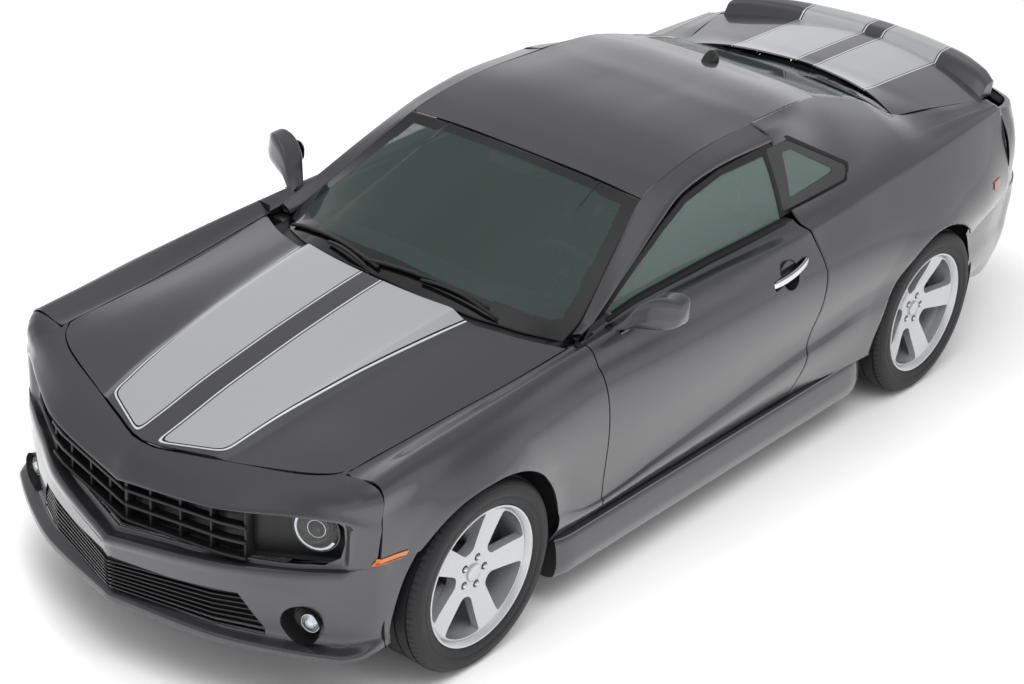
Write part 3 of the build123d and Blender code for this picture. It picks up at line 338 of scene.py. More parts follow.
def mirrored(bm):
    """Add the other side of the car."""
    copied = bmesh.ops.duplicate(bm, geom=bm.faces[:] + bm.edges[:] + bm.verts[:])["geom"]
    bmesh.ops.scale(bm, vec=(-1, 1, 1), verts=verts_of(copied))
    bmesh.ops.reverse_faces(bm, faces=[g for g in copied if isinstance(g, bmesh.types.BMFace)])
    return bm


# %% [markdown]
# Sheet metal has a wall and rounded edges, and holes cut cleanly through. Cutting the grid by hand would
# break its even faces, so the wall and the edges are modifiers and the holes are exact booleans.
# %% Walls, edges and cuts
def edited(piece, change):
    """Change a piece's mesh by a function of its bmesh."""
    bm = bmesh.new()
    bm.from_mesh(piece.data)
    change(bm)
    bm.to_mesh(piece.data)
    bm.free()
    return piece


def baked(piece):
    """Apply the modifiers."""
    graph = bpy.context.evaluated_depsgraph_get()
    done = bpy.data.meshes.new_from_object(piece.evaluated_get(graph))
    piece.modifiers.clear()
    piece.data = done
    return piece


def tree_of(piece):
    """Search tree of a finished piece, to cast rays at."""
    return BVHTree.FromObject(piece, bpy.context.evaluated_depsgraph_get())


def cut(piece, cutters, operation="DIFFERENCE"):
    """Cut closed pieces out of a closed piece, or keep only what lies in them, and drop the cutters."""
    for cutter in cutters:
        modifier = piece.modifiers.new("cut", "BOOLEAN")
        modifier.object = cutter
        modifier.operation = operation
        modifier.solver = "MANIFOLD"
    baked(piece)
    piece.data.set_sharp_from_angle(angle=radians(38))
    for cutter in cutters:
        bpy.data.objects.remove(cutter)
    return piece


def wall(piece, thickness_mm):
    """Give a sheet its thickness on its inner side."""
    modifier = piece.modifiers.new("wall", "SOLIDIFY")
    modifier.thickness = thickness_mm / 1000
    modifier.offset = -1
    modifier.use_even_offset = True
    modifier.thickness_clamp = 2
    return piece


def round_edges(piece, width_mm, segments=2, angle=40):
    """Round the edges that are sharper than an angle in degrees."""
    modifier = piece.modifiers.new("edges", "BEVEL")
    modifier.width = width_mm / 1000
    modifier.segments = segments
    modifier.limit_method = "ANGLE"
    modifier.angle_limit = radians(angle)
    modifier.harden_normals = True
    return piece


# %% [markdown]
# Pieces for both sides of the car are drawn on the left: they are moved over, doubled in one mesh, or
# copied as a piece of their own where each side moves by itself, as a door does.
# %% Left and right
def flip(piece):
    """Move a piece to the other side of the car."""
    def over(bm):
        bmesh.ops.scale(bm, vec=(-1, 1, 1), verts=bm.verts)
        bmesh.ops.reverse_faces(bm, faces=bm.faces)
    return edited(piece, over)


def on_side(piece, side):
    """A piece drawn on the left, moved over if it is for the right."""
    return flip(piece) if side == "right" else piece


def both_of(piece):
    """Bake a piece and add its mirror image."""
    return edited(baked(piece), mirrored)


def copy_right(piece, name):
    """The same piece on the car's right."""
    twin = bpy.data.objects.new(name, piece.data.copy())
    bpy.context.scene.collection.objects.link(twin)
    return flip(twin)


def ready(piece, body, replaced=()):
    """Put a piece on the body it rides on, and hide the CAD nodes that it stands for."""
    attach(piece, body)
    if replaced:
        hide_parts(*replaced)
    return piece


# %% [markdown]
# Cutters are closed shapes that are thrown away after use: a prism from an outline, and a round drum.
# %% Cutters
def prism(outline, axis, low, high):
    """Closed cutter from low to high along an axis; outline (d, z) for X, (x, z) for Y, (x, d) for Z."""
    bm = bmesh.new()
    corners = []
    for a, b in outline:
        corner = {"X": (low, a, b), "Y": (a, low, b), "Z": (a, b, low)}[axis]
        corners.append(bm.verts.new(place(*corner)))
    face = bm.faces.new(corners)
    step = (high - low) / 1000
    push = bmesh.ops.extrude_face_region(bm, geom=[face])["geom"]
    move = {"X": (step, 0, 0), "Y": (0, step, 0), "Z": (0, 0, step)}[axis]
    bmesh.ops.translate(bm, vec=move, verts=verts_of(push))
    bmesh.ops.recalc_face_normals(bm, faces=bm.faces)
    return mesh_object("cutter", bm, [black_plastic], False)


def drum(centre, direction, radius, depth, segments=96):
    """Closed round cutter of a depth either side of its centre."""
    bm = bmesh.new()
    turn = Vector((0, 0, 1)).rotation_difference(Vector(direction)).to_matrix().to_4x4()
    bmesh.ops.create_cone(bm, cap_ends=True, segments=segments, radius1=radius / 1000, radius2=radius / 1000,
                          depth=2 * depth / 1000, matrix=Matrix.Translation(centre) @ turn)
    return mesh_object("cutter", bm, [black_plastic], False)


# %% [markdown]
# The body side: one skin from the nose to the tail, so that fender, door and rear wing share the same
# flow of light. The lower fold rises towards the rear wheel and the upper crease swells over it.
# %% Side tables
# d, rocker, kick, fold, bulge, crease, belt, pillar, rail, seam as (x, z)
SIDE = [
    (-460, (850, 305), (872, 420), (872, 520), (875, 700), (853, 882), (702, 878), (690, 900), (680, 905),
     (670, 905)),
    (-220, (870, 305), (905, 420), (905, 520), (922, 750), (843, 910), (708, 890), (690, 960), (680, 965),
     (670, 965)),
    (0, (880, 305), (930, 420), (930, 520), (950, 790), (842, 932), (716, 902), (700, 960), (690, 965),
     (680, 965)),
    (330, (885, 305), (925, 400), (922, 520), (930, 790), (840, 957), (738, 928), (715, 980), (700, 985),
     (690, 985)),
    (620, (885, 305), (915, 360), (908, 400), (925, 790), (838, 972), (752, 957), (730, 1000), (715, 1005),
     (700, 1005)),
    (1000, (885, 305), (918, 380), (905, 430), (932, 790), (842, 980), (745, 1000), (700, 1080), (690, 1100),
     (630, 1140)),
    (1450, (885, 305), (924, 410), (910, 490), (938, 790), (852, 985), (750, 1008), (700, 1150), (634, 1298),
     (551, 1325)),
    (1900, (887, 305), (935, 457), (920, 548), (943, 799), (861, 997), (781, 1031), (703, 1165), (628, 1322),
     (532, 1355)),
    (2060, (895, 305), (938, 465), (922, 555), (946, 803), (853, 1000), (785, 1040), (705, 1165),
     (624, 1312), (524, 1353)),
    (2300, (915, 305), (945, 480), (935, 590), (950, 810), (848, 1008), (785, 1052), (690, 1160),
     (590, 1270), (508, 1340)),
    (2520, (930, 305), (948, 480), (944, 595), (954, 800), (838, 1018), (775, 1062), (680, 1150),
     (560, 1245), (470, 1297)),
    (2852, (935, 305), (950, 480), (950, 600), (958, 790), (828, 1030), (755, 1068), (660, 1112),
     (565, 1160), (495, 1196)),
    (3040, (930, 305), (942, 470), (942, 600), (950, 790), (820, 1038), (745, 1064), (672, 1080),
     (610, 1092), (562, 1100)),
    (3300, (905, 305), (915, 450), (920, 600), (925, 790), (806, 1045), (750, 1068), (712, 1076),
     (675, 1084), (640, 1088)),
    (3560, (850, 305), (860, 450), (868, 600), (875, 780), (785, 1050), (760, 1062), (740, 1066),
     (725, 1070), (712, 1074)),
]
# How softly each line turns, on the fender, door and wing.
FENDER_SOFT = [0, 0.4, 0.45, 0.5, 0.35, 0.3, 0.35, 0.4, 0]
DOOR_SOFT = [0, 0.35, 0.15, 0.5, 0.35, 0.3, 0.35, 0.4, 0]
WING_SOFT = [0, 0.4, 0.2, 0.5, 0.09, 0.35, 0.5, 0.4, 0]
SIDE_SOFT = [FENDER_SOFT if row[0] < 600 else DOOR_SOFT if row[0] < 1900 else WING_SOFT for row in SIDE]
side_skin = Skin([[place(x, row[0], z) for x, z in row[1:]] for row in SIDE], SIDE_SOFT)
DOOR_FRONT = [(677, 300), (676, 400), (660, 640), (640, 860), (630, 1060), (620, 1500)]
DOOR_REAR = [(1905, 300), (1912, 400), (1970, 640), (2004, 846), (1985, 960), (1962, 1060), (1958, 1500)]


def flared(point, d_axle, height, reach):
    """Swell of the wing over its wheel arch."""
    y, z = point.y - axle(d_axle).y, point.z - TYRE_RADIUS
    r = hypot(y, z) * 1000
    band = max(0.0, min(1.0, (ARCH_RADIUS + reach - r) / reach))
    aloft = max(0.0, min(1.0, z / max(1e-6, hypot(y, z)) * 1.6 + 0.2))
    return Vector((height / 1000 * band ** 1.3 * aloft, 0, 0))


def height(point):
    """Height of a place in mm."""
    return point.z * 1000


def width(point):
    """Distance of a place from the centre plane in mm."""
    return abs(point.x) * 1000


# %% [markdown]
# Shut lines are drawn in side view or in plan, but a skin runs in rows and columns. For each point of a
# panel's grid the place along the car is found in a few steps, so that the panel ends exactly on its lines.
# %% Panels between shut lines
SHUT_LINE_STEPS = 4


def skin_sheet(skin, nu, nv, front, rear, s0, s1, outward, key=height, bump=None, rake=None):
    """Sheet on a skin between two shut lines. A line gives d by the key, height or width; rake(point) leans
    the rear line forward."""
    lines = {}

    def at(u, v):
        s = s0 + (s1 - s0) * v
        if s not in lines:
            lines[s] = skin.line(s)
        line = lines[s]
        d = (front[len(front) // 2][0] + rear[len(rear) // 2][0]) / 2
        for _ in range(SHUT_LINE_STEPS):
            point = skin.at(between(line, d), s)
            a, b = between(front, key(point)), between(rear, key(point))
            if rake:
                b -= rake(point)
            d = a + (b - a) * u
        point = skin.at(between(line, d), s)
        return point + bump(point) if bump else point

    return sheet(nu, nv, at, outward)


def side_sheet(nu, nv, front, rear, s0, s1, bump=None, rake=None):
    return skin_sheet(side_skin, nu, nv, front, rear, s0, s1, place(0, 1400, 700), height, bump, rake)


def smooth_line(points, mirror=True, steps=40):
    """Table of (value, key) bent smoothly through a few points."""
    knots = [Vector((value, key, 0)) for value, key in points]
    if mirror and knots[0].y == 0:
        knots = [Vector((k.x, -k.y, 0)) for k in knots[:0:-1]] + knots
    last = len(knots) - 1
    table = [spline(knots, last * i / steps) for i in range(steps + 1)]
    return [(p.x, p.y) for p in table]


def eased(outline, radius, steps=5):
    """Outline with its corners rounded."""
    done = []
    count = len(outline)
    for i, corner in enumerate(outline):
        here = Vector(corner)
        before, after = Vector(outline[i - 1]), Vector(outline[(i + 1) % count])
        back, ahead = before - here, after - here
        a = here + back.normalized() * min(radius, back.length * 0.45)
        b = here + ahead.normalized() * min(radius, ahead.length * 0.45)
        for k in range(steps + 1):
            f = k / steps
            done.append(tuple(a.lerp(here, f).lerp(here.lerp(b, f), f)))
    return done


def both(outline):
    """Outline from the centre plane outwards and back, with its mirror image."""
    return outline + [(-x, z) for x, z in outline[::-1] if abs(x) > 1]


print("side skin", len(SIDE), "sections")

# %% [markdown]
# Fender: a pressed sheet, cut round for the wheel. It could be drawn face by face, but a grid laid on the
# skin keeps the light even, and an exact cut gives a true arch.
# %% Fenders
FENDER_FRONT = [(-476, 300), (-471, 618), (-449, 1000), (-449, 1500)]
fender_rear = [(d - SHUT - 1, z) for d, z in DOOR_FRONT]
bm = side_sheet(72, 60, FENDER_FRONT, fender_rear, 0, 5, lambda p: flared(p, 0, 11, 75))
fenders = wall(mesh_object("fenders_pressed", mirrored(bm), [paint]), 16)
BUMPER_ROOM = [(-600, 200), (-600, 620), (-470, 619), (-300, 613), (-200, 200)]
cut(fenders, [drum(axle(0), (1, 0, 0), ARCH_RADIUS, THROUGH), prism(BUMPER_ROOM, "X", -THROUGH, THROUGH)])
ready(round_edges(fenders, 2.0), "body", ["fenders"])
print("fenders", len(fenders.data.polygons), "faces")

# %% [markdown]
# Door: the outer skin turns in at all its edges to a flat inner card, so it looks whole when it stands
# open. Its rear end leans forward towards the cabin, which lets the inner edge swing past the wing.
# %% Doors
# Room for the hinge post as (x, z), and two cut-outs for the handle: its slot, and its recess as an ellipse.
POST_ROOM = [(680, 280), (885, 280), (893, 700), (885, 860), (815, 940), (760, 940), (760, 1010), (680, 1010)]
HANDLE_SLOT = [(1668, 866), (1664, 900), (1902, 940), (1906, 906)]
HANDLE_RECESS = [(1776 + 56 * cos(i * pi / 24), 904 + 60 * sin(i * pi / 24)) for i in range(48)]
CARD_X = 0.703
# The rear end leans forward by 24 mm over the door's depth of 213 mm.
RAKE, RAKE_X, RAKE_DEPTH = 24, 903, 213


def rear_rake(point):
    """How far the door's rear end leans forward at a place, in mm."""
    return max(0.0, RAKE_X - abs(point.x) * 1000) * RAKE / RAKE_DEPTH


def door(side):
    """Outer skin with its edges drawn in to the inner card."""
    bm = side_sheet(64, 66, DOOR_FRONT, DOOR_REAR, 0.05, 5, None, rear_rake)
    rim = [edge for edge in bm.edges if edge.is_boundary]
    turned_in = bmesh.ops.extrude_edge_only(bm, edges=rim)["geom"]
    rake_at_card = rear_rake(Vector((CARD_X, 0, 0)))
    for vert in verts_of(turned_in):
        if vert.co.y > 0.3:
            vert.co.y -= 0.001 * (rake_at_card - rear_rake(vert.co))
        vert.co.x = CARD_X
    bmesh.ops.contextual_create(bm, geom=[e for e in bm.edges if e.is_boundary])
    bmesh.ops.recalc_face_normals(bm, faces=bm.faces)
    for face in bm.faces:
        face.material_index = 1 if face.calc_center_median().x < CARD_X + 0.001 else 0
    piece = mesh_object("door_%s_pressed" % side, bm, [paint, black_plastic])
    cut(piece, [prism(POST_ROOM, "Y", 560, 740), prism(eased(HANDLE_SLOT, 12), "X", 893, 1000),
                prism(HANDLE_RECESS, "X", 893, 1000)])
    return ready(round_edges(on_side(piece, side), 1.8), "door_" + side, ["door_" + side])


doors = [door(side) for side in ("left", "right")]
print("doors", [len(d.data.polygons) for d in doors])

# %% [markdown]
# Rear wing: one pressing from the sill to the roof seam, over the haunch. The wheel arch, the small
# window and the place of the rear bumper are cut from it.
# %% Rear wings
QUARTER_GLASS = [(1990, 1066), (1996, 1292), (2075, 1288), (2392, 1118), (2360, 1078)]
wing_front = [(d + SHUT + 1, z) for d, z in DOOR_REAR]
bm = side_sheet(110, 120, wing_front, [(3558, 0), (3558, 2000)], 0, 8, lambda p: flared(p, REAR_AXLE, 9, 110))
wings = wall(mesh_object("rear_wings_pressed", mirrored(bm), [paint]), 12)
cut(wings, [drum(axle(REAR_AXLE), (1, 0, 0), ARCH_RADIUS, THROUGH),
            prism([(3148, 200), (3148, 641), (3700, 722), (3700, 200)], "X", -THROUGH, THROUGH),
            prism(eased(QUARTER_GLASS, 22), "X", -THROUGH, THROUGH)])
ready(round_edges(wings, 2.0), "body", ["quarter_panels"])
print("rear wings", len(wings.data.polygons), "faces")

# %% [markdown]
# Roof rail: the pressing that runs up the windscreen pillar and over the door. It could be a bent tube, but
# five feature lines on a skin give it the flange that glass and rubber meet. The door's hinge post is a
# rounded block under it.
# %% Roof rails
# d, flange, lower edge, outer edge, seam, inner flange as (x, z)
RAIL = [
    (686, (714, 950), (738, 952), (744, 981), (707, 966), (700, 950)),
    (760, (710, 985), (734, 985), (740, 1006), (690, 990), (683, 975)),
    (1040, (664, 1122), (688, 1122), (694, 1146), (616, 1164), (609, 1149)),
    (1230, (631, 1203), (655, 1203), (660, 1236), (567, 1275), (561, 1260)),
    (1380, (610, 1258), (634, 1258), (638, 1291), (556, 1315), (550, 1300)),
    (1617, (603, 1292), (627, 1292), (630, 1325), (543, 1347), (537, 1332)),
    (1966, (602, 1292), (626, 1292), (628, 1325), (529, 1355), (523, 1340)),
]
rail_skin = Skin([[place(x, row[0], z) for x, z in row[1:]] for row in RAIL], [0, 0.12, 0.4, 0.1, 0])
bm = sheet(70, 24, lambda u, v: rail_skin.at(6 * u, 4 * v), place(500, 1400, 1000))
rails = wall(mesh_object("roof_rails_pressed", mirrored(bm), [paint]), 5)
ready(round_edges(rails, 1.0), "body", ["side_frames"])


def block(x0, x1, d0, d1, z0, z1):
    """Box to shape further."""
    bm = bmesh.new()
    low, high = place(x0, d0, z0), place(x1, d1, z1)
    bmesh.ops.create_cube(bm, size=1.0)
    bmesh.ops.scale(bm, vec=high - low, verts=bm.verts)
    bmesh.ops.translate(bm, vec=(low + high) / 2, verts=bm.verts)
    return bm


def chamfered(bm, width_mm, segments=2):
    """Round every edge of a shape."""
    bmesh.ops.bevel(bm, geom=bm.edges, offset=width_mm / 1000, segments=segments, profile=0.5, affect="EDGES",
                    material=-1)
    return bm


bm = chamfered(block(702, 798, 660, 722, 306, 924), 6)
ready(mesh_object("hinge_posts", mirrored(bm), [paint]), "body")
print("roof rails", len(rails.data.polygons), "faces")

# %% [markdown]
# Roof: one large crowned pressing. It and the panes are top skins: rows across the car, from edge to edge,
# where one function mirrors a half row, so that the crown stays even.
# %% Roof
def seam(d, axis):
    """Seam beside roof and glass at d: its x where axis is 0, its z where it is 1."""
    rail_part = [(row[4][axis], row[0]) for row in RAIL[:-1]]
    wing_part = [(row[9][axis], row[0]) for row in SIDE if row[0] >= 2060]
    return between(rail_part + wing_part, d)


def seam_x(d):
    return seam(d, 0)


def top_rows(table):
    """Rows over the whole width from (d, centre z, (x, z), ...) with the outermost last."""
    rows = []
    for d, centre, *half in table:
        left = [place(x, d, z) for x, z in half]
        right_side = [place(-x, d, z) for x, z in half[::-1]]
        rows.append(right_side + [place(0, d, centre)] + left)
    return rows


ROOF = [(1230, 1292, 1290), (1380, 1330, 1327), (1617, 1367, 1363), (1950, 1376, 1373), (2060, 1374, 1370),
        (2300, 1360, 1356), (2520, 1312, 1309)]
roof_rows = [(d, centre, (300, side), (seam_x(d) - 2.5, seam(d, 1) + 1)) for d, centre, side in ROOF]
roof_skin = Skin(top_rows(roof_rows), [0, 0.5, 0.5, 0.5, 0])
ROOF_FRONT, ROOF_REAR = [(1232, 0), (1232, 1000)], [(2518, 0), (2518, 1000)]
bm = skin_sheet(roof_skin, 60, 48, ROOF_FRONT, ROOF_REAR, 0, 4, place(0, 1800, 0), width)
roof = wall(mesh_object("roof_pressed", bm, [paint]), 6)
ready(round_edges(roof, 2.5), "body", ["roof_panel"])

# %% [markdown]
# The windscreen is one bent pane with a broad black enamel border, the frit, fired on to hide the glue.
# The border could be painted by a mask; here it is faces of the pane with a second finish, so that it
# goes along into any export. The cowl is the grained moulding under the pane's foot.
# %% Windscreen, rear window and cowl
SCREEN = [(430, 1026, (300, 1006), (540, 940), (700, 850)), (560, 1078, (300, 1054), (540, 990), (700, 893)),
          (666, 1112, (300, 1086), (540, 1022), (690, 937)),
          (760, 1142, (300, 1115), (540, 1055), (687, 989)),
          (1040, 1235, (300, 1216), (480, 1190), (613, 1163)),
          (1229.5, 1290, (300, 1286), (440, 1281), (564, 1275))]
screen_skin = Skin(top_rows(SCREEN), [0, 0.5, 0.5, 0.5, 0.5, 0.5, 0])
SCREEN_FRONT = smooth_line([(428, 0), (446, 300), (545, 560), (662, 690), (700, 760)])


def framed(bm, front, rear, half_width, side_mm, front_mm, rear_mm):
    """Give the border faces of a pane the second finish."""
    for face in bm.faces:
        middle = face.calc_center_median()
        x, d = width(middle), behind(middle)
        near_side = half_width(d) - x < side_mm
        near_end = d - between(front, x) < front_mm or between(rear, x) - d < rear_mm
        face.material_index = 1 if near_side or near_end else 0


SCREEN_REAR = [(1227, 0), (1227, 1000)]
bm = skin_sheet(screen_skin, 90, 120, SCREEN_FRONT, SCREEN_REAR, 0, 6, place(0, 900, 0), width)
framed(bm, SCREEN_FRONT, SCREEN_REAR, seam_x, 62, 95, 46)
# The pane's darker glass is painted shade.
screen = wall(mesh_object("windscreen_pane", bm, [glass_with_painted_shade, frit]), 4)
ready(screen, "body", ["windscreen"])

REAR_GLASS = [(2520.5, 1310, (250, 1306), (seam_x(2520) - 3, 1297)),
              (2852, 1215, (280, 1208), (seam_x(2852) - 3, 1196)),
              (3010, 1165, (300, 1148), (seam_x(3010) - 3, 1112)),
              (3140, 1124, (300, 1112), (seam_x(3140) - 3, 1094))]
rear_skin = Skin(top_rows(REAR_GLASS), [0, 0.5, 0.5, 0.5, 0])
REAR_EDGE = smooth_line([(3138, 0), (3084, 400), (3006, 552), (2900, 640)])
bm = skin_sheet(rear_skin, 60, 60, [(2521, 0), (2521, 1000)], REAR_EDGE, 0, 4, place(0, 2700, 0), width)
framed(bm, [(2521, 0), (2521, 1000)], REAR_EDGE, seam_x, 40, 40, 55)
# The pane's darker glass is painted shade.
rear_pane = wall(mesh_object("rear_window_pane", bm, [glass_with_painted_shade, frit]), 4)
ready(rear_pane, "body", ["rear_window"])

COWL_FRONT = smooth_line([(405, 0), (433, 300), (506, 560), (588, 700)])
cowl_rear = [(d + 50, x) for d, x in SCREEN_FRONT]
bm = skin_sheet(screen_skin, 50, 40, COWL_FRONT, cowl_rear, 0.0, 6.0, place(0, 900, 0), width,
                lambda p: Vector((0, 0, -0.012)))
cowl = wall(mesh_object("cowl_moulded", bm, [black_plastic]), 4)
ready(cowl, "body", ["cowl"])
print("roof and panes", [len(o.data.polygons) for o in (roof, screen, rear_pane, cowl)])

# %% [markdown]
# The hood has a raised centre, the power bulge, whose sides spread towards the windscreen. Its front
# and rear edges are smooth lines in plan.
# %% Hood
def belt_edge(d):
    """Edge of the hood beside the fender as (x, z); it bends down ahead of the first side section."""
    x = between([(row[6][0], row[0]) for row in SIDE], d)
    z = between([(row[6][1], row[0]) for row in SIDE], d)
    return x - SHUT, z + min(0, d - SIDE[0][0]) / 4


HOOD = [(-730, 802, (230, 800), (290, 794)), (-560, 845, (265, 842), (330, 830)),
        (-390, 892, (285, 888), (350, 870)), (-220, 930, (298, 925), (362, 903)),
        (0, 975, (314, 968), (382, 940)), (330, 1030, (335, 1018), (412, 978)),
        (620, 1062, (350, 1047), (432, 1003))]
hood_skin = Skin(top_rows([(d, c, top, foot, (560, (foot[1] + belt_edge(d)[1]) / 2 + 7), belt_edge(d))
                           for d, c, top, foot in HOOD]), [0, 0.4, 0.2, 0.14, 0.5, 0.14, 0.2, 0.4, 0])
HOOD_FRONT = smooth_line([(-706, 0), (-656, 180), (-598, 350), (-530, 560), (-478, 655), (-420, 698),
                          (-330, 740)])
HOOD_REAR = smooth_line([(397, 0), (425, 300), (500, 560), (605, 750)])
bm = skin_sheet(hood_skin, 90, 112, HOOD_FRONT, HOOD_REAR, 0, 8, place(0, 0, 0), width)
hood = wall(mesh_object("hood_pressed", bm, [hood_paint, paint]), 8)
hood.modifiers["wall"].material_offset = 1
ready(round_edges(hood, 2.5), "hood", ["hood"])
print("hood", len(hood.data.polygons), "faces")

# %% [markdown]
# Boot lid: a top skin like the hood's. Its edge could be turned down into a skirt; a second sheet further
# on is simpler to lay just over the tail panel.
# %% Boot lid
BOOT = [(3020, 1170, (300, 1150), (560, 1098)), (3190, 1134, (300, 1124), (600, 1093)),
        (3300, 1132, (300, 1122), (634, 1088)), (3560, 1128, (300, 1116), (706, 1074)),
        (3860, 1118, (300, 1106), (700, 1055))]
boot_skin = Skin(top_rows(BOOT), [0, 0.5, 0.5, 0.5, 0])
BOOT_FRONT = smooth_line([(3187, 0), (3140, 300), (3030, 556)])
BOOT_REAR = smooth_line([(3858, 0), (3850, 300), (3740, 620), (3520, 706)])
bm = skin_sheet(boot_skin, 48, 60, BOOT_FRONT, BOOT_REAR, 0, 4, place(0, 3500, 0), width)
boot_lid = wall(mesh_object("boot_lid_pressed", bm, [boot_paint, paint]), 8)
boot_lid.modifiers["wall"].material_offset = 1
ready(round_edges(boot_lid, 2.5), "boot_lid", ["boot_lid"])

# %% [markdown]
# Spoiler: a moulding with a thin rear lip. An extruded section would not taper, so it is one closed section
# whose four corners run along smooth lines across the car.
# %% Spoiler
# x, then base front, top front, top rear, base rear as (d, z)
SPOILER = [(0, (3738, 1116), (3775, 1148), (3872, 1151), (3858, 1112)),
           (400, (3680, 1096), (3725, 1144), (3813, 1149), (3801, 1090)),
           (600, (3600, 1078), (3645, 1138), (3713, 1145), (3701, 1072)),
           (690, (3540, 1074), (3580, 1126), (3639, 1133), (3631, 1066))]


def spoiler_at(u, v):
    """Point of the spoiler: u runs across, v round its section."""
    x = (u * 2 - 1) * 3
    columns = [[place(row[0], *row[1 + i]) for row in SPOILER] for i in range(4)]
    ring = [spline([Vector((-c[1].x, c[1].y, c[1].z))] + c, abs(x) + 1) for c in columns]
    if x < 0:
        ring = [Vector((-p.x, p.y, p.z)) for p in ring]
    start = [(ring[0] + ring[3]) / 2]
    return rounded(start + ring + start, [0, 0.02, 0.3, 0.22, 0.02, 0], 5 * v)


def tube(nu, nv, at, capped=True):
    """Closed section carried along: v goes once round."""
    bm = sheet(nu, nv, at, Vector((0, 0, 0)))
    bmesh.ops.remove_doubles(bm, verts=bm.verts, dist=1e-6)
    if capped:
        bmesh.ops.holes_fill(bm, edges=[e for e in bm.edges if e.is_boundary])
    bmesh.ops.recalc_face_normals(bm, faces=bm.faces)
    return bm


spoiler = mesh_object("spoiler_moulded", tube(64, 30, spoiler_at), [boot_paint])
ready(round_edges(spoiler, 3.0), "boot_lid", ["spoiler"])


# %% [markdown]
# Skirt and seals: the lid closes on rubber behind the rear window and over the tail panel. They are thin
# sheets that follow the gap's edges, so no light shows through.
# %% Skirt and seals of the boot
# Heights of the gap's edge, of the skirt's head and of its foot, as (z, x)
BOOT_GAP = [(1132, 0), (1128, 150), (1116, 300), (1103, 450), (1092, 600)]
SKIRT_TOP = [(1113, 0), (1100, 300), (1068, 620), (1058, 690)]
SKIRT_FOOT = [(1065, 0), (1061, 300), (1052, 620), (1054, 690)]
# Rear edge of the rubber sill as (d, x)
TAIL_SILL = [(3850, 0), (3826, 300), (3782, 600), (3735, 720)]


def gap_at(u, v):
    """Rubber channel between the rear window and the lid, deepest in its middle."""
    x = (v * 2 - 1) * 585
    front = between(REAR_EDGE, abs(x)) - 8
    rear = between(BOOT_FRONT, min(abs(x), 556)) + 12
    drop = 9 + 16 * sin(pi * u) ** 0.5
    return place(x, front + (rear - front) * u, between(BOOT_GAP, abs(x)) - drop - 8 * u)


def skirt_at(u, v):
    """Rear face of the lid, from its edge down to just over the tail panel."""
    x = 684 * (2 * u - 1)
    top, foot = between(SKIRT_TOP, abs(x)), between(SKIRT_FOOT, abs(x))
    return place(x, between(BOOT_REAR, abs(x)) - 7, top + (foot - top) * v)


def tail_sill_at(u, v):
    """Rubber under the lid's rear edge."""
    x = 720 * (2 * u - 1)
    return place(x, between(TAIL_SILL, abs(x)) - 66 * v, 1040 - 12 * v)


skirt = wall(mesh_object("boot_lid_skirt", sheet(64, 4, skirt_at, place(0, 3000, 1080)), [boot_paint]), 6)
ready(round_edges(skirt, 1.5), "boot_lid", ["boot_lid"])


tail_sill = wall(mesh_object("tail_sill", sheet(64, 4, tail_sill_at, place(0, 3800, 0)), [rubber]), 4)
ready(tail_sill, "body")
seal = wall(mesh_object("boot_seal", sheet(10, 48, gap_at, place(0, 3100, 0)), [rubber]), 4)
ready(seal, "body")
print("boot lid and spoiler", len(boot_lid.data.polygons), len(spoiler.data.polygons))

# %% [markdown]
# Front cover: nose and bumper are one moulding, drawn as sections that turn round its corner like a fan, so
# that each crease runs clean from the centre to the wheel arch. A subdivided cage would soften them. The
# mouth, the lower intake and the fog lamps' pockets are cut through it.
# %% Front cover
# x and turn of each section's origin, 375 mm ahead of the axle, then its points as (reach, z): under,
# ledge low, ledge top, ledge back, face, lip, mouth foot, mouth head, brow, brow back, hood edge.
FAN_D = -375
FRONT = [
    (0, 0, (430, 236), (500, 244), (498, 266), (462, 296), (496, 430), (508, 496), (440, 520), (425, 688),
     (446, 704), (400, 757), (335, 801)),
    (390, 0, (350, 238), (422, 248), (420, 268), (376, 294), (390, 440), (392, 524), (322, 541), (360, 722),
     (382, 744), (285, 801), (175, 840)),
    (600, 0, (268, 238), (334, 248), (332, 266), (280, 290), (292, 440), (278, 534), (222, 552), (255, 742),
     (280, 764), (190, 831), (78, 873)),
    (600, 45, (240, 240), (300, 250), (298, 266), (246, 292), (256, 440), (254, 556), (216, 588), (218, 742),
     (248, 764), (210, 841), (64, 880)),
    (600, 53, (244, 242), (298, 252), (296, 268), (248, 294), (260, 440), (262, 570), (252, 600), (254, 712),
     (262, 762), (226, 853), (76, 881)),
    (600, 60, (246, 244), (294, 254), (292, 270), (252, 298), (266, 440), (270, 580), (269, 606), (272, 700),
     (274, 758), (246, 864), (96, 882)),
    (600, 73, (246, 245), (278, 262), (279, 282), (264, 312), (280, 440), (284, 570), (284, 606), (286, 690),
     (287, 745), (264, 878), (108, 879)),
    (600, 90, (250, 240), (262, 262), (264, 284), (266, 304), (281, 430), (283, 570), (283, 606), (286, 690),
     (286, 745), (256, 878), (108, 882)),
]
FRONT_SOFT = [0, 0.2, 0.14, 0.22, 0.5, 0.3, 0.35, 0.35, 0.22, 0.5, 0]


def headed(x0, turn, reach, z, d0=FAN_D, way=-1):
    """Place at a reach from a section's origin at x0, along the section's heading."""
    return place(x0 + reach * sin(radians(turn)), d0 + way * reach * cos(radians(turn)), z)


front_rows = [[headed(x0, turn, *point) for point in points] for x0, turn, *points in FRONT]
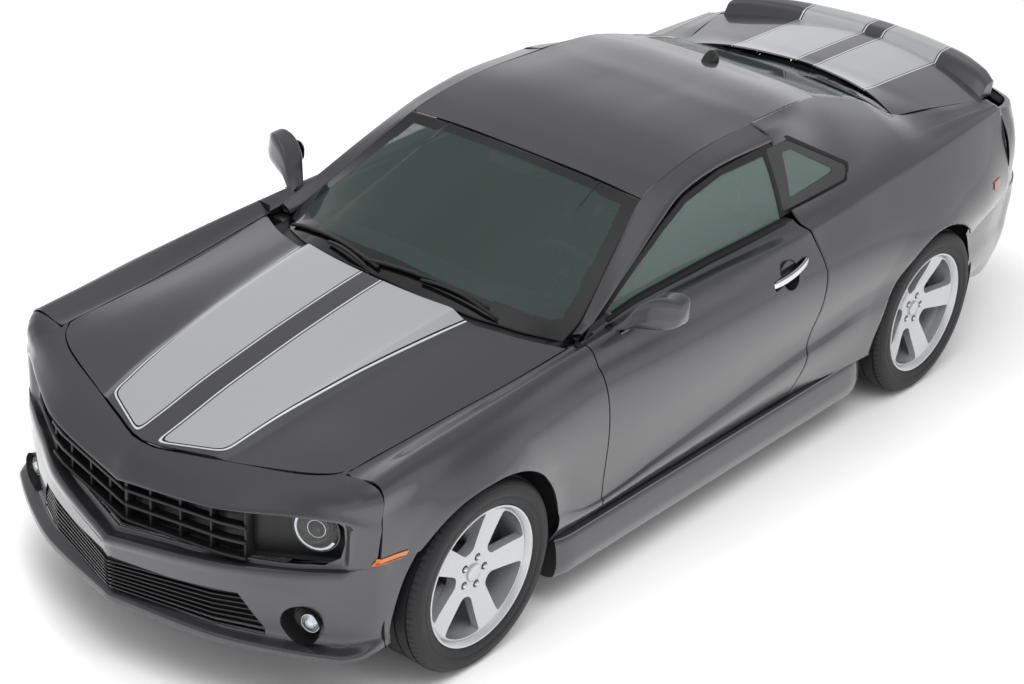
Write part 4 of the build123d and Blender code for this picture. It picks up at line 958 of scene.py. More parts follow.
# The last section, at the fender's seam, as (x, z)
FRONT_END_D = -290
FRONT_END = [(852, 236), (868, 262), (870, 284), (872, 298), (894, 430), (897, 570), (898, 606), (905, 690),
             (905, 745), (850, 890), (706, 885)]
front_rows.append([place(x, FRONT_END_D, z) for x, z in FRONT_END])
front_skin = Skin(front_rows, FRONT_SOFT)
bm = sheet(112, 84, lambda u, v: front_skin.at(8 * u, 10 * v), place(300, 0, 600))
for vert in bm.verts:
    vert.co += flared(vert.co, 0, 11, 75) * (1 if vert.co.x > 0.6 else 0)
bm = mirrored(bm)
bmesh.ops.remove_doubles(bm, verts=bm.verts, dist=1e-5)
cover = wall(mesh_object("front_cover_moulded", bm, [paint]), 5)
MOUTH = [(0, 517), (390, 535), (600, 547), (700, 566), (750, 606), (766, 670), (760, 726), (735, 747),
         (600, 746), (390, 727), (0, 692)]
INTAKE = [(0, 294), (562, 284), (549, 322), (505, 396), (480, 436), (440, 434), (0, 404)]
hood_room = [(x, d - SHUT) for d, x in HOOD_FRONT if x >= 0] + [(850, -200), (0, -200)]
FENDER_ROOM = [(-476, 613.5), (-454, 1000), (-200, 1000), (-200, 607)]
FOG, FOG_TURN, FOG_RADIUS = (672, -625, 352), 15, 72
cutters = [prism(both(MOUTH), "Y", -1000, -470), prism(both(INTAKE), "Y", -1000, -560),
           prism(both(hood_room), "Z", 760, 1200), drum(axle(0), (1, 0, 0), ARCH_RADIUS, THROUGH)]
for limits in ((699, THROUGH), (-THROUGH, -699)):
    cutters.append(prism(FENDER_ROOM, "X", *limits))
for side in (1, -1):
    ahead = (side * sin(radians(FOG_TURN)), -cos(radians(FOG_TURN)), 0)
    cutters.append(drum(place(side * FOG[0], *FOG[1:]), ahead, FOG_RADIUS, 120))
cut(cover, cutters)
ready(round_edges(cover, 3.0, 3, 35), "body", ["front_bumper", "nose_panel"])
print("front cover", len(cover.data.polygons), "faces")

# %% [markdown]
# Rear cover: bumper and tail panel are a moulding and a pressing on the real car; one skin keeps their
# common corner even. Lamps, number plate and diffuser get exact windows by cutting.
# %% Rear cover
REAR_FAN_D = 3560
# under, foot, face, ledge edge, ledge back, panel foot, panel, top as (reach, z) behind d 3560
REAR = [
    (0, 0, (230, 250), (300, 262), (372, 420), (391, 600), (384, 700), (366, 716), (350, 900), (318, 1046),
     (290, 1060)),
    (550, 0, (180, 250), (240, 262), (310, 420), (322, 600), (314, 700), (297, 716), (278, 900), (248, 1036),
     (222, 1050)),
    (550, 45, (190, 250), (245, 262), (305, 420), (317, 600), (312, 700), (298, 716), (285, 900),
     (252, 1030), (225, 1042)),
    (550, 70, (210, 250), (258, 262), (306, 420), (319, 600), (318, 696), (309, 716), (296, 900),
     (244, 1034), (216, 1044)),
    (550, 90, (215, 250), (266, 262), (311, 420), (319, 600), (326, 695), (326, 716), (305, 900),
     (236, 1040), (212, 1048)),
]
rear_rows = [[headed(x0, turn, *point, REAR_FAN_D, 1) for point in points] for x0, turn, *points in REAR]
# The sections beside the wheel, as (x, z)
REAR_FLANK = {
    3400: [(800, 285), (830, 290), (886, 420), (897, 600), (898, 668), (898, 700), (880, 900), (805, 1040),
           (780, 1048)],
    3160: [(800, 295), (850, 300), (912, 420), (918, 600), (924, 640), (924, 700), (905, 900), (815, 1040),
           (790, 1048)],
}
for d, points in REAR_FLANK.items():
    rear_rows.append([place(x, d, z) for x, z in points])
rear_cover_skin = Skin(rear_rows, [0, 0.4, 0.5, 0.5, 0.2, 0.25, 0.5, 0.2, 0])
bm = sheet(84, 66, lambda u, v: rear_cover_skin.at(6 * u, 8 * v), place(300, 3000, 700))
bm = mirrored(bm)
bmesh.ops.remove_doubles(bm, verts=bm.verts, dist=1e-5)
rear_cover = wall(mesh_object("rear_cover_moulded", bm, [paint]), 5)
# Tail lamps: the inner and outer x of each, and the heights of their foot and head
TAIL_LAMPS = ((478, 612), (632, 772))
LAMP_FOOT, LAMP_HEAD = 812, 928


def lamp_outline(x0, x1, inset=0):
    """Outline of a tail lamp, or of a part of it that lies within it, with rounded corners."""
    foot, head = LAMP_FOOT + inset * 0.9, LAMP_HEAD - inset * 0.9
    corners = [(x0 + inset, foot), (x1 - inset, foot), (x1 - inset - 2, head), (x0 + inset + 2, head)]
    return eased(corners, max(6, 26 - inset * 0.5))


WING_ROOM = [(3000, 646.5), (3148, 646.5), (3558, 706), (3558, 1300), (3000, 1300)]
cutters = [prism(WING_ROOM, "X", -THROUGH, THROUGH),
           drum(axle(REAR_AXLE), (1, 0, 0), ARCH_RADIUS, THROUGH)]
for x0, x1 in TAIL_LAMPS:
    for side in (1, -1):
        cutters.append(prism([(side * x, z) for x, z in lamp_outline(x0, x1)], "Y", 3640, 4000))
cutters.append(prism(both([(0, 200), (500, 200), (470, 330), (0, 345)]), "Y", 3700, 4000))
cutters.append(prism([(-172, 433), (172, 433), (172, 607), (-172, 607)], "Y", 3880, 4000))
cut(rear_cover, cutters)
ready(round_edges(rear_cover, 2.5, 2, 35), "body", ["rear_bumper", "tail_panel"])
print("rear cover", len(rear_cover.data.polygons), "faces")

# %% [markdown]
# Side windows: tempered panes in a rubber frame. Each could be a sheet of its own; one bent sheet for pane,
# frit and rubber, each cut out by its outline, makes their edges meet.
# %% Side windows
SIDE_GLASS = [(740, (744, 930), (700, 1110), (652, 1230)), (1000, (737, 950), (690, 1150), (628, 1310)),
              (1450, (740, 960), (690, 1165), (616, 1340)), (1940, (772, 980), (702, 1175), (614, 1340)),
              (2420, (790, 1020), (700, 1160), (600, 1290))]
glass_skin = Skin([[place(x, d, z) for x, z in row] for d, *row in SIDE_GLASS], [0, 0.5, 0])
DOOR_GLASS = [(836, 980), (836, 1004), (1040, 1108), (1230, 1192), (1380, 1246), (1617, 1281), (1892, 1280),
              (1908, 1060), (1912, 980)]
REAR_SIDE_GLASS = [(1932, 1062), (1916, 1296), (2075, 1290), (2394, 1118), (2358, 1076)]
SEAL_OUTLINE = [(770, 985), (800, 1000), (1028, 1127), (1222, 1213), (1378, 1268), (1617, 1303), (1900, 1310),
                (2084, 1304), (2412, 1124), (2396, 1098), (2364, 1062), (1918, 1046), (1500, 1030),
                (1000, 1012)]


def pane(name, outline, shift, thick, materials):
    """Piece of the side glass, cut out by its outline."""
    def at(u, v):
        point = glass_skin.at(4 * u, 2 * v)
        return point + Vector((shift / 1000, 0, shift / 3000))
    bm = sheet(96, 40, at, place(0, 1500, 1000))
    piece = wall(mesh_object(name, bm, materials), thick)
    cut(piece, [prism(outline, "X", 560, 860)], "INTERSECT")
    return piece


for side in ("left", "right"):
    piece = on_side(pane("door_pane_" + side, DOOR_GLASS, 0, 4, [side_glass]), side)
    ready(piece, "door_" + side, ["door_glass_" + side])
border = eased(REAR_SIDE_GLASS, 20)
clear = eased([(1990, 1098), (2012, 1262), (2080, 1256), (2300, 1130), (2286, 1118)], 16)
rear_border = cut(pane("rear_side_frit", border, 1, 3, [frit]), [prism(clear, "X", 560, 900)])
ready(both_of(rear_border), "body", ["quarter_glass"])
clear_pane = eased([(1980, 1090), (2004, 1270), (2084, 1264), (2316, 1126), (2294, 1106)], 16)
rear_clear = pane("rear_side_pane", clear_pane, -1, 4, [side_glass])
ready(both_of(rear_clear), "body", ["quarter_glass"])
door_border = eased(DOOR_GLASS[:-1] + [(1912, 1000)], 8)
seal_ring = cut(pane("window_seal", eased(SEAL_OUTLINE, 14), 3, 6, [rubber]),
                [prism(outline, "X", 560, 900) for outline in (door_border, border)])
ready(round_edges(both_of(seal_ring), 1.5), "body")
# The wing is opened a little wider than the pane, so that the rubber has room.
WING_WINDOW = [(1926, 1062), (1910, 1299), (2076, 1294), (2400, 1118), (2362, 1071)]
cut(wings, [prism(eased(WING_WINDOW, 20), "X", -THROUGH, THROUGH)])
print("side windows", len(seal_ring.data.polygons), "faces of rubber")

# %% [markdown]
# Belt moulding: the rubber lip along the foot of the door glass. A bevelled curve could do it, but a
# section carried along a table keeps its flat foot on the door.
# %% Belt mouldings
BELT_START, BELT_END = 832, 1906
BELT = [(838, 984), (1040, 1003), (1450, 1013), (1700, 1024), (1908, 1038)]


def moulding_at(u, v):
    """Belt moulding along the foot of the door glass."""
    d = BELT_START + (BELT_END - BELT_START) * u
    z = between([(z, d) for d, z in BELT], d)
    x = between([(x, d) for d, (x, _), *_ in SIDE_GLASS], d) - 6
    ring = [place(x - 6, d, z + 9), place(x + 16, d, z + 7), place(x + 21, d, z - 4),
            place(x + 19, d, z - 14),
            place(x - 6, d, z - 14), place(x - 6, d, z + 9)]
    return rounded(ring, [0, 0.3, 0.4, 0.2, 0.02, 0], 5 * v)


for side in ("left", "right"):
    piece = mesh_object("belt_moulding_" + side, tube(60, 20, moulding_at), [rubber])
    ready(on_side(piece, side), "door_" + side)


# %% [markdown]
# Side markers: thin acrylic plates that follow the panel under them. They could be shrink-wrapped; here a
# ray cast at the panels gives each point of a small grid its place.
# %% Side markers
def laid(name, corners, under, lift, thick, material, nu=14, nv=5):
    """Small patch with corners as (d, z) lying on the left of the pieces under it."""
    trees = [tree_of(piece) for piece in under]
    a, b, c, d = [Vector((p[0], p[1], 0)) for p in corners]

    def at(u, v):
        flat = a.lerp(b, u).lerp(d.lerp(c, u), v)
        starts = [place(1300, flat.x + step, flat.y) for step in (-7, 0, 7)]
        hits = [tree.ray_cast(start, Vector((-1, 0, 0)), 0.6)[0] for tree in trees for start in starts]
        found = [hit.x for hit in hits if hit]
        return place(max(found or [0.87]) * 1000 + lift, flat.x, flat.y)
    bm = sheet(nu, nv, at, place(500, corners[0][0], corners[0][1]))
    return wall(mesh_object(name, bm, [material]), thick)


AMBER_CORNERS = [(-494, 609), (-380, 609), (-366, 634), (-478, 634)]
RED_CORNERS = [(3352, 772), (3430, 772), (3426, 806), (3356, 806)]
amber = laid("front_markers", AMBER_CORNERS, [cover, fenders], 2.5, 6, lamp_amber)
ready(round_edges(both_of(amber), 1.0), "body", ["side_markers"])
red = laid("rear_markers", RED_CORNERS, [wings], 2.5, 6, lamp_red)
ready(round_edges(both_of(red), 1.0), "body", ["side_markers"])
print("markers", len(amber.data.polygons), len(red.data.polygons), "faces")

# %% [markdown]
# Wheels: a cast alloy face with five windows, barrel, brake disc, nuts and cap. One spoke spun five times
# would show its seams; instead a disc is turned and cut through, as a lathe and a mill would make it.
# First, the tools for turned shapes.
# %% Turned shapes
def turned(profile, segments=96, start=0.0, end=360.0):
    """Surface turned about X from a profile of (x, radius) in mm, at the origin."""
    bm = bmesh.new()
    bmesh.ops.create_grid(bm, x_segments=segments, y_segments=len(profile) - 1, size=0.5)
    for vert in bm.verts:
        x, r = along(profile, vert.co.y + 0.5)
        angle = radians(start + (end - start) * (vert.co.x + 0.5))
        vert.co = Vector((x, r * cos(angle), r * sin(angle))) / 1000
    bmesh.ops.remove_doubles(bm, verts=bm.verts, dist=1e-6)
    bmesh.ops.recalc_face_normals(bm, faces=bm.faces)
    return bm


def along(profile, v):
    """Point of a profile at v from 0 to 1, by its count of points."""
    t = v * (len(profile) - 1)
    i = min(int(t), len(profile) - 2)
    a, b = Vector(profile[i]), Vector(profile[i + 1])
    return a.lerp(b, t - i)


def soften(profile, rounds=2):
    """Cut the corners of a profile, a few rounds over."""
    points = [Vector(p) for p in profile]
    for _ in range(rounds):
        within = [q for a, b in zip(points, points[1:]) for q in (a.lerp(b, 0.25), a.lerp(b, 0.75))]
        points = [points[0]] + within + [points[-1]]
    return [tuple(p) for p in points]


def seat(piece, side, x, d):
    """Carry a wheel's piece from the origin to its place, its outer face outwards."""
    def carry(bm):
        if side < 0:
            bmesh.ops.rotate(bm, matrix=Matrix.Rotation(pi, 3, "Z"), verts=bm.verts)
        bmesh.ops.translate(bm, vec=place(x, d, AXLE_Z), verts=bm.verts)
    return edited(piece, carry)


# %% [markdown]
# Wheel face: broad, flat-topped spokes run from the hub to the lip, with a hole for each nut. The window
# between two spokes is one outline, turned by a fifth each time.
# %% Wheel face
SPOKES = 5
NUT_CIRCLE = 57
RIM_RADIUS = 244
WINDOW_RADIUS = 241


def window_outline():
    """Opening between two spokes as (y, z) in mm about the wheel's axis."""
    near, far = (96, 23), (219, 97)
    arc = [(WINDOW_RADIUS * cos(radians(a)), WINDOW_RADIUS * sin(radians(a))) for a in range(-18, 19, 6)]
    hub_side = [(near[0], -near[1]), (near[0] - 6, 0), near]
    return hub_side + [far] + arc[::-1] + [(far[0], -far[1])]


def wheel_prism(points, low, high):
    """Closed cutter along the wheel's axis, its outline (y, z) about that axis."""
    bm = bmesh.new()
    face = bm.faces.new([bm.verts.new((low / 1000, y / 1000, z / 1000)) for y, z in points])
    push = bmesh.ops.extrude_face_region(bm, geom=[face])["geom"]
    bmesh.ops.translate(bm, vec=((high - low) / 1000, 0, 0), verts=verts_of(push))
    bmesh.ops.recalc_face_normals(bm, faces=bm.faces)
    return mesh_object("cutter", bm, [black_plastic], False)


def wheel_face(half):
    """Turned disc with its windows and nut holes; half is half the rim's width."""
    front = half - 20
    profile = soften([(70, 0), (70, 40), (71, 84), (74, 120), (front - 10, 200), (front - 1, RIM_RADIUS)], 1)
    back = soften([(front - 36, RIM_RADIUS), (front - 44, 200), (36, 120), (28, 84), (28, 0)], 1)
    face = mesh_object("face", turned(profile + back + profile[:1], 110), [wheel_alloy])
    window = eased(window_outline(), 12, 3)
    hole = [(15 * cos(radians(a)), 15 * sin(radians(a))) for a in range(0, 360, 20)]
    cutters = []
    for i in range(SPOKES):
        turn = radians(72 * i + 36)
        points = [(y * cos(turn) - z * sin(turn), y * sin(turn) + z * cos(turn)) for y, z in window]
        cutters.append(wheel_prism(points, 0, 140))
        pin = radians(72 * i)
        points = [(NUT_CIRCLE * cos(pin) + y, NUT_CIRCLE * sin(pin) + z) for y, z in hole]
        cutters.append(wheel_prism(points, 52, 140))
    return cut(face, cutters)


def nuts():
    """Domed hexagon nuts on their circle."""
    bm = bmesh.new()
    for i in range(SPOKES):
        turn = radians(72 * i)
        y, z = 0.001 * NUT_CIRCLE * cos(turn), 0.001 * NUT_CIRCLE * sin(turn)
        bmesh.ops.create_cone(bm, cap_ends=True, segments=6, radius1=0.0105, radius2=0.0095, depth=0.022,
                              matrix=Matrix.Translation((0.062, y, z)) @ Matrix.Rotation(pi / 2, 4, "Y"))
        bmesh.ops.create_uvsphere(bm, u_segments=12, v_segments=6, radius=0.0088,
                                  matrix=Matrix.Translation((0.071, y, z)))
    return bm


# %% [markdown]
# Tyre: beads, side walls with raised rings, shoulders and four grooves. Tread blocks could be modelled one
# by one; pulling in every fourth row at the shoulders cuts the same notches at no cost in faces.
# %% Tyres
TREAD_BLOCKS = 84
NOTCH_MM = 4.5


def tyre_at(half):
    """Closed section of the tyre; half is half its width."""
    outer = [(half - 30, 266.6), (half - 12, 267), (half - 7, 272), (half - 5, 284), (half - 2.2, 296),
             (half - 3.4, 299), (half - 0.6, 303), (half, 318), (half - 2, 334), (half - 4, 337),
             (half - 3.4, 340), (half - 9, 349), (half - 16, 356), (half - 24, 360)]
    tread = []
    for x in (half - 34, (half - 34) * 0.42):
        tread += [(x + 4.2, 362 if x > 60 else 363.6), (x + 4, 356), (x - 4, 356), (x - 4.2, 363.4)]
    outline = outer + tread
    return outline + [(-x, r) for x, r in outline[::-1]] + [(half - 30, 266.6)]


def tyre(half):
    bm = turned(tyre_at(half), TREAD_BLOCKS * 4)
    for vert in bm.verts:
        r = hypot(vert.co.y, vert.co.z) * 1000
        step = round((atan2(vert.co.z, vert.co.y) / (2 * pi) * TREAD_BLOCKS * 4)) % 4
        if step == 0 and r > 352 and width(vert.co) > half - 31:
            vert.co.y *= (r - NOTCH_MM) / r
            vert.co.z *= (r - NOTCH_MM) / r
    return bm


# %% [markdown]
# Each wheel is built at the origin about X and carried to its hub, the right ones turned round. Its parts
# ride on the wheel's body, so they turn with it.
# %% Wheels in their places
# Name, side, x of the wheel's middle, d, width of the tyre
WHEELS = [("front_left", 1, 809, 0, 244), ("front_right", -1, -809, 0, 244),
          ("rear_left", 1, 814, REAR_AXLE, 276),
          ("rear_right", -1, -814, REAR_AXLE, 276)]
# Profiles as (x, radius)
DISC = [(-4, 84), (-4, 174), (-6, 176), (-14, 176), (-14, 170), (-24, 170), (-24, 176), (-32, 176),
        (-34, 174), (-34, 84), (-4, 84)]
HAT = [(30, 52), (30, 76), (26, 82), (-5, 86), (-30, 86), (-30, 50), (30, 52)]
CAP = [(64, 34), (76, 34), (78.5, 32), (80, 26), (80.5, 12), (81, 0), (64, 0)]


def barrel(half):
    """Closed section of the rim's barrel with its outer and inner lip."""
    outer = [(half - 22, 243.5), (half - 14, 249), (half - 4, 256), (half, 260), (half, 265), (half - 3, 266),
             (half - 12, 266), (half - 26, 260)]
    inner = [(-half + 20, 256), (-half, 266), (-half, 250), (-half + 26, 244), (0, 243.5)]
    return outer + inner + outer[:1]


for name, side, x, d, tyre_width in WHEELS:
    half = tyre_width / 2 - 8
    body = "wheel_" + name
    face = seat(round_edges(wheel_face(half), 5, 3, 30), side, x, d)
    face.name = body + "_face"
    ready(face, body, [body])
    for part, shape, material, edge in (("barrel", turned(barrel(half), 128), wheel_alloy, 0),
                                        ("disc", turned(DISC, 96), dull_steel, 1.0),
                                        ("hat", turned(HAT, 64), cast_iron, 0), ("nuts", nuts(), chrome, 0.8),
                                        ("cap", turned(CAP, 48), wheel_alloy, 0.8)):
        piece = seat(mesh_object(body + "_" + part, shape, [material]), side, x, d)
        ready(round_edges(piece, edge) if edge else piece, body, [body])
    rubber_ring = mesh_object("tyre_%s_moulded" % name, tyre(half + 8), [tyre_rubber])
    rubber_ring.data.set_sharp_from_angle(angle=radians(40))
    ready(seat(rubber_ring, side, x, d), body, ["tyre_" + name])
print("wheels", len(WHEELS))

# %% [markdown]
# Wheel houses: moulded felt liners. A plain cylinder would leave slits, since the panels swell over the
# wheels, so each liner reaches out to the panels, found by rays, and a ring closes it towards the middle.
# %% Wheel houses
LINER_RADIUS = 0.436
WALL_INNER, WALL_BREADTH = 0.332, 0.106
LINER_START, LINER_SWEEP = -14, 208
panel_trees = [tree_of(piece) for piece in (fenders, cover, wings, rear_cover)]


def liner(d_axle, x0, x1):
    """Felt liner over a wheel, out to the inner side of the panels around it."""
    def at(u, v):
        angle = radians(LINER_START + LINER_SWEEP * u)
        rim = axle(d_axle) + Vector((0, cos(angle), sin(angle))) * LINER_RADIUS
        hits = [tree.ray_cast(rim + Vector((1.3, 0, 0)), Vector((-1, 0, 0)), 0.5)[0] for tree in panel_trees]
        reach = max([hit.x * 1000 - 9 for hit in hits if hit] + [x1])
        return rim + Vector((x0 + (reach - x0) * v, 0, 0)) / 1000
    bm = bmesh.new()
    bmesh.ops.create_grid(bm, x_segments=60, y_segments=10, size=0.5)
    for vert in bm.verts:
        vert.co = at(vert.co.x + 0.5, vert.co.y + 0.5)
    bmesh.ops.recalc_face_normals(bm, faces=bm.faces)
    return bm


def inner_wall(d_axle, x):
    """Upright ring closing a wheel house towards the car's middle."""
    def at(u, v):
        angle = radians(LINER_START + LINER_SWEEP * u)
        radius = WALL_INNER + WALL_BREADTH * v
        return place(x, d_axle, AXLE_Z) + Vector((0, cos(angle), sin(angle))) * radius
    return sheet(60, 4, at, place(x - 100, d_axle, AXLE_Z))


for name, d_axle, x0, x1 in (("front", 0, 548, 868), ("rear", REAR_AXLE, 600, 905)):
    piece = mesh_object("wheel_liners_" + name, mirrored(liner(d_axle, x0, x1)), [liner_felt])
    ready(wall(piece, 3), "body")
    piece = mesh_object("wheel_house_walls_" + name, mirrored(inner_wall(d_axle, x0 + 2)), [liner_felt])
    ready(wall(piece, 3), "body")
print("wheel houses closed")

# %% [markdown]
# Grille: an egg crate of black bars, pointed in plan like the nose. It could be a plate with cells cut out,
# but bars are rounded each by itself: sections carried along the mouth's plan, and blocks as uprights.
# %% Egg-crate grille
# Plans as (d, x), heights as (z, x); the grille rises outwards by GRILLE_RISE per mm.
GRILLE_HALF = 474
GRILLE_RISE = 0.045
GRILLE_PLAN = [(-776, 0), (-708, 390), (-664, 520), (-600, 640)]
FOOT_PLAN = [(-812, 0), (-695, 390), (-595, 600), (-520, 752)]
FOOT_Z = [(524, 0), (545, 390), (556, 600), (592, 752)]


def carried(name, path, half_width, half_height, material, count=40, tilt=0.0):
    """Bar with rounded edges carried along a path(u) of places, wide across and high upwards."""
    def at(u, v):
        here, ahead = path(u), path(min(1.0, u + 0.01)) - path(max(0.0, u - 0.01))
        across = ahead.cross(Vector((0, 0, 1))).normalized()
        upward = across.cross(ahead).normalized()
        if tilt:
            turn = Matrix.Rotation(radians(tilt), 3, ahead.normalized())
            across, upward = turn @ across, turn @ upward
        ring = [across * (a * half_width / 1000) + upward * (b * half_height / 1000)
                for a, b in ((0, 1), (1, 1), (1, -1), (-1, -1), (-1, 1), (0, 1))]
        return here + rounded(ring, [0, 0.4, 0.4, 0.4, 0.4, 0], 5 * v)
    return mesh_object(name, tube(count, 20, at), [material])


def joined(name, pieces):
    """Several pieces as one, each baked."""
    bm = bmesh.new()
    for piece in pieces:
        baked(piece)
        bm.from_mesh(piece.data)
    material = pieces[0].data.materials[0]
    for piece in pieces:
        bpy.data.objects.remove(piece)
    return mesh_object(name, bm, [material])


def grille_path(z):
    """Path of a level bar that meets the centre plane at the height z."""
    def path(u):
        x = GRILLE_HALF * u
        return place(x, between(GRILLE_PLAN, x), z + GRILLE_RISE * x)
    return path


bars = [carried("bar", grille_path(z), 16, 5.5, black_plastic) for z in (530, 591, 649)]
for x in (2, 100, 222, 346, 470):
    d = between(GRILLE_PLAN, x)
    upright = block(x - 5, x + 5, d - 8, d + 34, 526 + GRILLE_RISE * x, 708 + 0.05 * x)
    bars.append(mesh_object("bar", chamfered(upright, 3), [black_plastic]))
egg_crate = both_of(joined("egg_crate_grille", bars))
ready(egg_crate, "body", ["grilles"])
print("egg-crate grille", len(egg_crate.data.polygons), "faces")

# %% [markdown]
# Gutter: a rubber strip under the seam between hood and nose keeps rain from the lamps. It follows the
# hood's front edge, and a ray cast down on the hood gives its height.
# %% Hood gutter
GUTTER_WIDTH = 720
gutter_line = [(-x, d) for d, x in HOOD_FRONT[::-1] if x > 0] + [(x, d) for d, x in HOOD_FRONT if x >= 0]
gutter_line = [point for point in gutter_line if abs(point[0]) < GUTTER_WIDTH]
hood_tree = tree_of(hood)


def under_seam(u):
    """Place under the front edge of the hood."""
    t = u * (len(gutter_line) - 1)
    i = min(int(t), len(gutter_line) - 2)
    x, d = Vector(gutter_line[i]).lerp(Vector(gutter_line[i + 1]), t - i)
    hit = hood_tree.ray_cast(place(min(max(x, -690), 690), d + 16, 1500), Vector((0, 0, -1)))[0]
    return place(x, d, hit.z * 1000 - 34)


gutter = carried("hood_gutter", under_seam, 26, 2, rubber, 90)
ready(gutter, "body")
print("gutter over", len(gutter_line), "points")

# %% [markdown]
# Mouth and intake: a gloss shelf leads back to the grille, a black sheet closes the mouth, and flat slats
# fan across the lower intake. Slats could be cut from a plate; carried along the bumper's plan, each keeps
# its own height and tilt.
# %% Mouth shelf and intake slats


def shelf_at(u, v):
    x = 745 * u
    front, back = between(FOOT_PLAN, x) + 4, between(GRILLE_PLAN, x) + 30
    foot = between(FOOT_Z, x) - 3
    return place(x, front + (back - front) * v, foot + (526 + GRILLE_RISE * x - foot) * v)


shelf = wall(mesh_object("mouth_shelf", sheet(60, 6, shelf_at, place(300, -700, 0)), [gloss_black]), 3)
ready(both_of(shelf), "body", ["grilles"])


def dark_back(name, plan, low, high, reach, material=black_plastic):
    """Black sheet behind an opening."""
    def at(u, v):
        x = reach * u
        return place(x, between(plan, x), between(low, x) + (between(high, x) - between(low, x)) * v)
    return wall(both_of(mesh_object(name, sheet(40, 8, at, place(300, 0, 600)), [material])), 3)


mouth_back = dark_back("mouth_back", [(-736, 0), (-668, 390), (-560, 560), (-480, 690), (-470, 770)],
                       [(505, 0), (540, 770)], [(712, 0), (735, 390), (764, 600), (764, 770)], 770)
ready(mouth_back, "body", ["grilles"])
INTAKE_PLAN = [(-864, 0), (-752, 390), (-668, 560)]
SLAT_REACH = 552


def slat_path(z, rise):
    """Path of a slat that starts at z in the centre plane and rises outwards."""
    def path(u):
        x = SLAT_REACH * u
        return place(x, between(INTAKE_PLAN, x) + 22 - z * 0.06, z + rise * u)
    return path


slats = []
for i in range(8):
    slats.append(carried("slat", slat_path(298 + 15 * i, -10 + 6 * i), 9, 2.2, gloss_black, 30, -12))
slat_set = both_of(joined("intake_slats", slats))
ready(slat_set, "body", ["grilles"])
intake_back = dark_back("intake_back", [(-830, 0), (-716, 390), (-632, 575)], [(288, 0), (292, 575)],
                        [(424, 0), (430, 575)], 575)
ready(intake_back, "body", ["grilles"])
print("mouth and intake", len(slats), "slats")

# %% [markdown]
# Lamps: each headlamp is a gloss bowl with an open ring of light and a projector; the fog lamp sits in a
# round pocket. Like lathe work, every part is turned about the lamp's own axis, which looks outwards.
# %% Front lamps
def lathed(name, profile, centre, turn, material, segments=64, start=0.0, end=360.0):
    """Piece turned about a lamp's axis; the profile is (ahead, radius) in mm; baked on both sides."""
    bm = turned(profile, segments, start, end)
    ahead = Vector((sin(radians(turn)), -cos(radians(turn)), 0))
    across = Vector((0, 0, 1)).cross(ahead).normalized()
    lamp_axes = Matrix((ahead, across, ahead.cross(across))).transposed()
    bmesh.ops.transform(bm, matrix=Matrix.Translation(place(*centre)) @ lamp_axes.to_4x4(), verts=bm.verts)
    bmesh.ops.recalc_face_normals(bm, faces=bm.faces)
    return both_of(mesh_object(name, bm, [material]))


def ring(ahead, radius, thick, steps=14):
    """Round section for a ring."""
    angles = [2 * pi * i / steps for i in range(steps + 1)]
    return [(ahead + thick * cos(a), radius + thick * sin(a)) for a in angles]


HEAD, HEAD_TURN = (654, -545, 682), 20
HEAD_BOWL = [(2, 86), (4, 82), (0, 75), (-30, 62), (-46, 42), (-48, 0)]
FULL_RING, OPEN_RING = (0, 360), (60, 330)
for name, profile, material, sweep in (
        ("headlamp_bowl", HEAD_BOWL, gloss_black, FULL_RING),
        ("headlamp_rim", ring(2, 79, 3.2), black_plastic, FULL_RING),
        ("headlamp_projector", [(-46, 36), (-16, 34), (-13, 31), (-15, 28), (-30, 27)], reflector, FULL_RING),
        ("headlamp_eye", [(-26, 28), (-15, 25), (-8, 17), (-4, 8), (-3.5, 0)], gloss_black, FULL_RING),
        ("headlamp_halo", ring(-2, 70, 3.8), lamp_white, OPEN_RING),
        ("headlamp_lens", soften([(4, 81), (12, 73), (17, 44), (18, 0)], 2), lens, FULL_RING)):
    ready(lathed(name, profile, HEAD, HEAD_TURN, material, 64, *sweep), "body", ["front_lamps"])
pocket = soften([(5, FOG_RADIUS), (-4, 70), (-36, 60), (-50, 52)], 1) + [(-52, 0)]
ready(lathed("fog_pocket", pocket, FOG, FOG_TURN, black_plastic), "body", ["front_lamps"])
FOG_EYE = (690, -596, 358)
for name, profile, material in (("fog_bowl", [(6, 35), (9, 33), (4, 30), (-16, 14), (-18, 0)], reflector),
                                ("fog_housing", [(-30, 34), (4, 37), (8, 35.5), (5, 33)], black_plastic),
                                ("fog_bulb", [(-14, 9), (-2, 9), (2, 5), (2.5, 0)], lamp_white),
                                ("fog_lens", soften([(6, 34), (14, 28), (19, 12), (20, 0)], 2), lens)):
    ready(lathed(name, profile, FOG_EYE, FOG_TURN, material), "body", ["front_lamps"])
print("front lamps made")

# %% [markdown]
# Tail lamps: two on each side, each a gloss bezel, a red lens and a white core. Their outlines are the tail
# panel's windows, set in a little, and a ray cast at the panel gives each its depth.
# %% Tail lamps
tail_tree = tree_of(rear_cover)


def tail_depth(x, z):
    """Place behind the axle of the tail panel's face at x and z."""
    hit = tail_tree.ray_cast(place(x, 4200, z), Vector((0, -1, 0)), 0.9)[0]
    return behind(hit) if hit else 3840


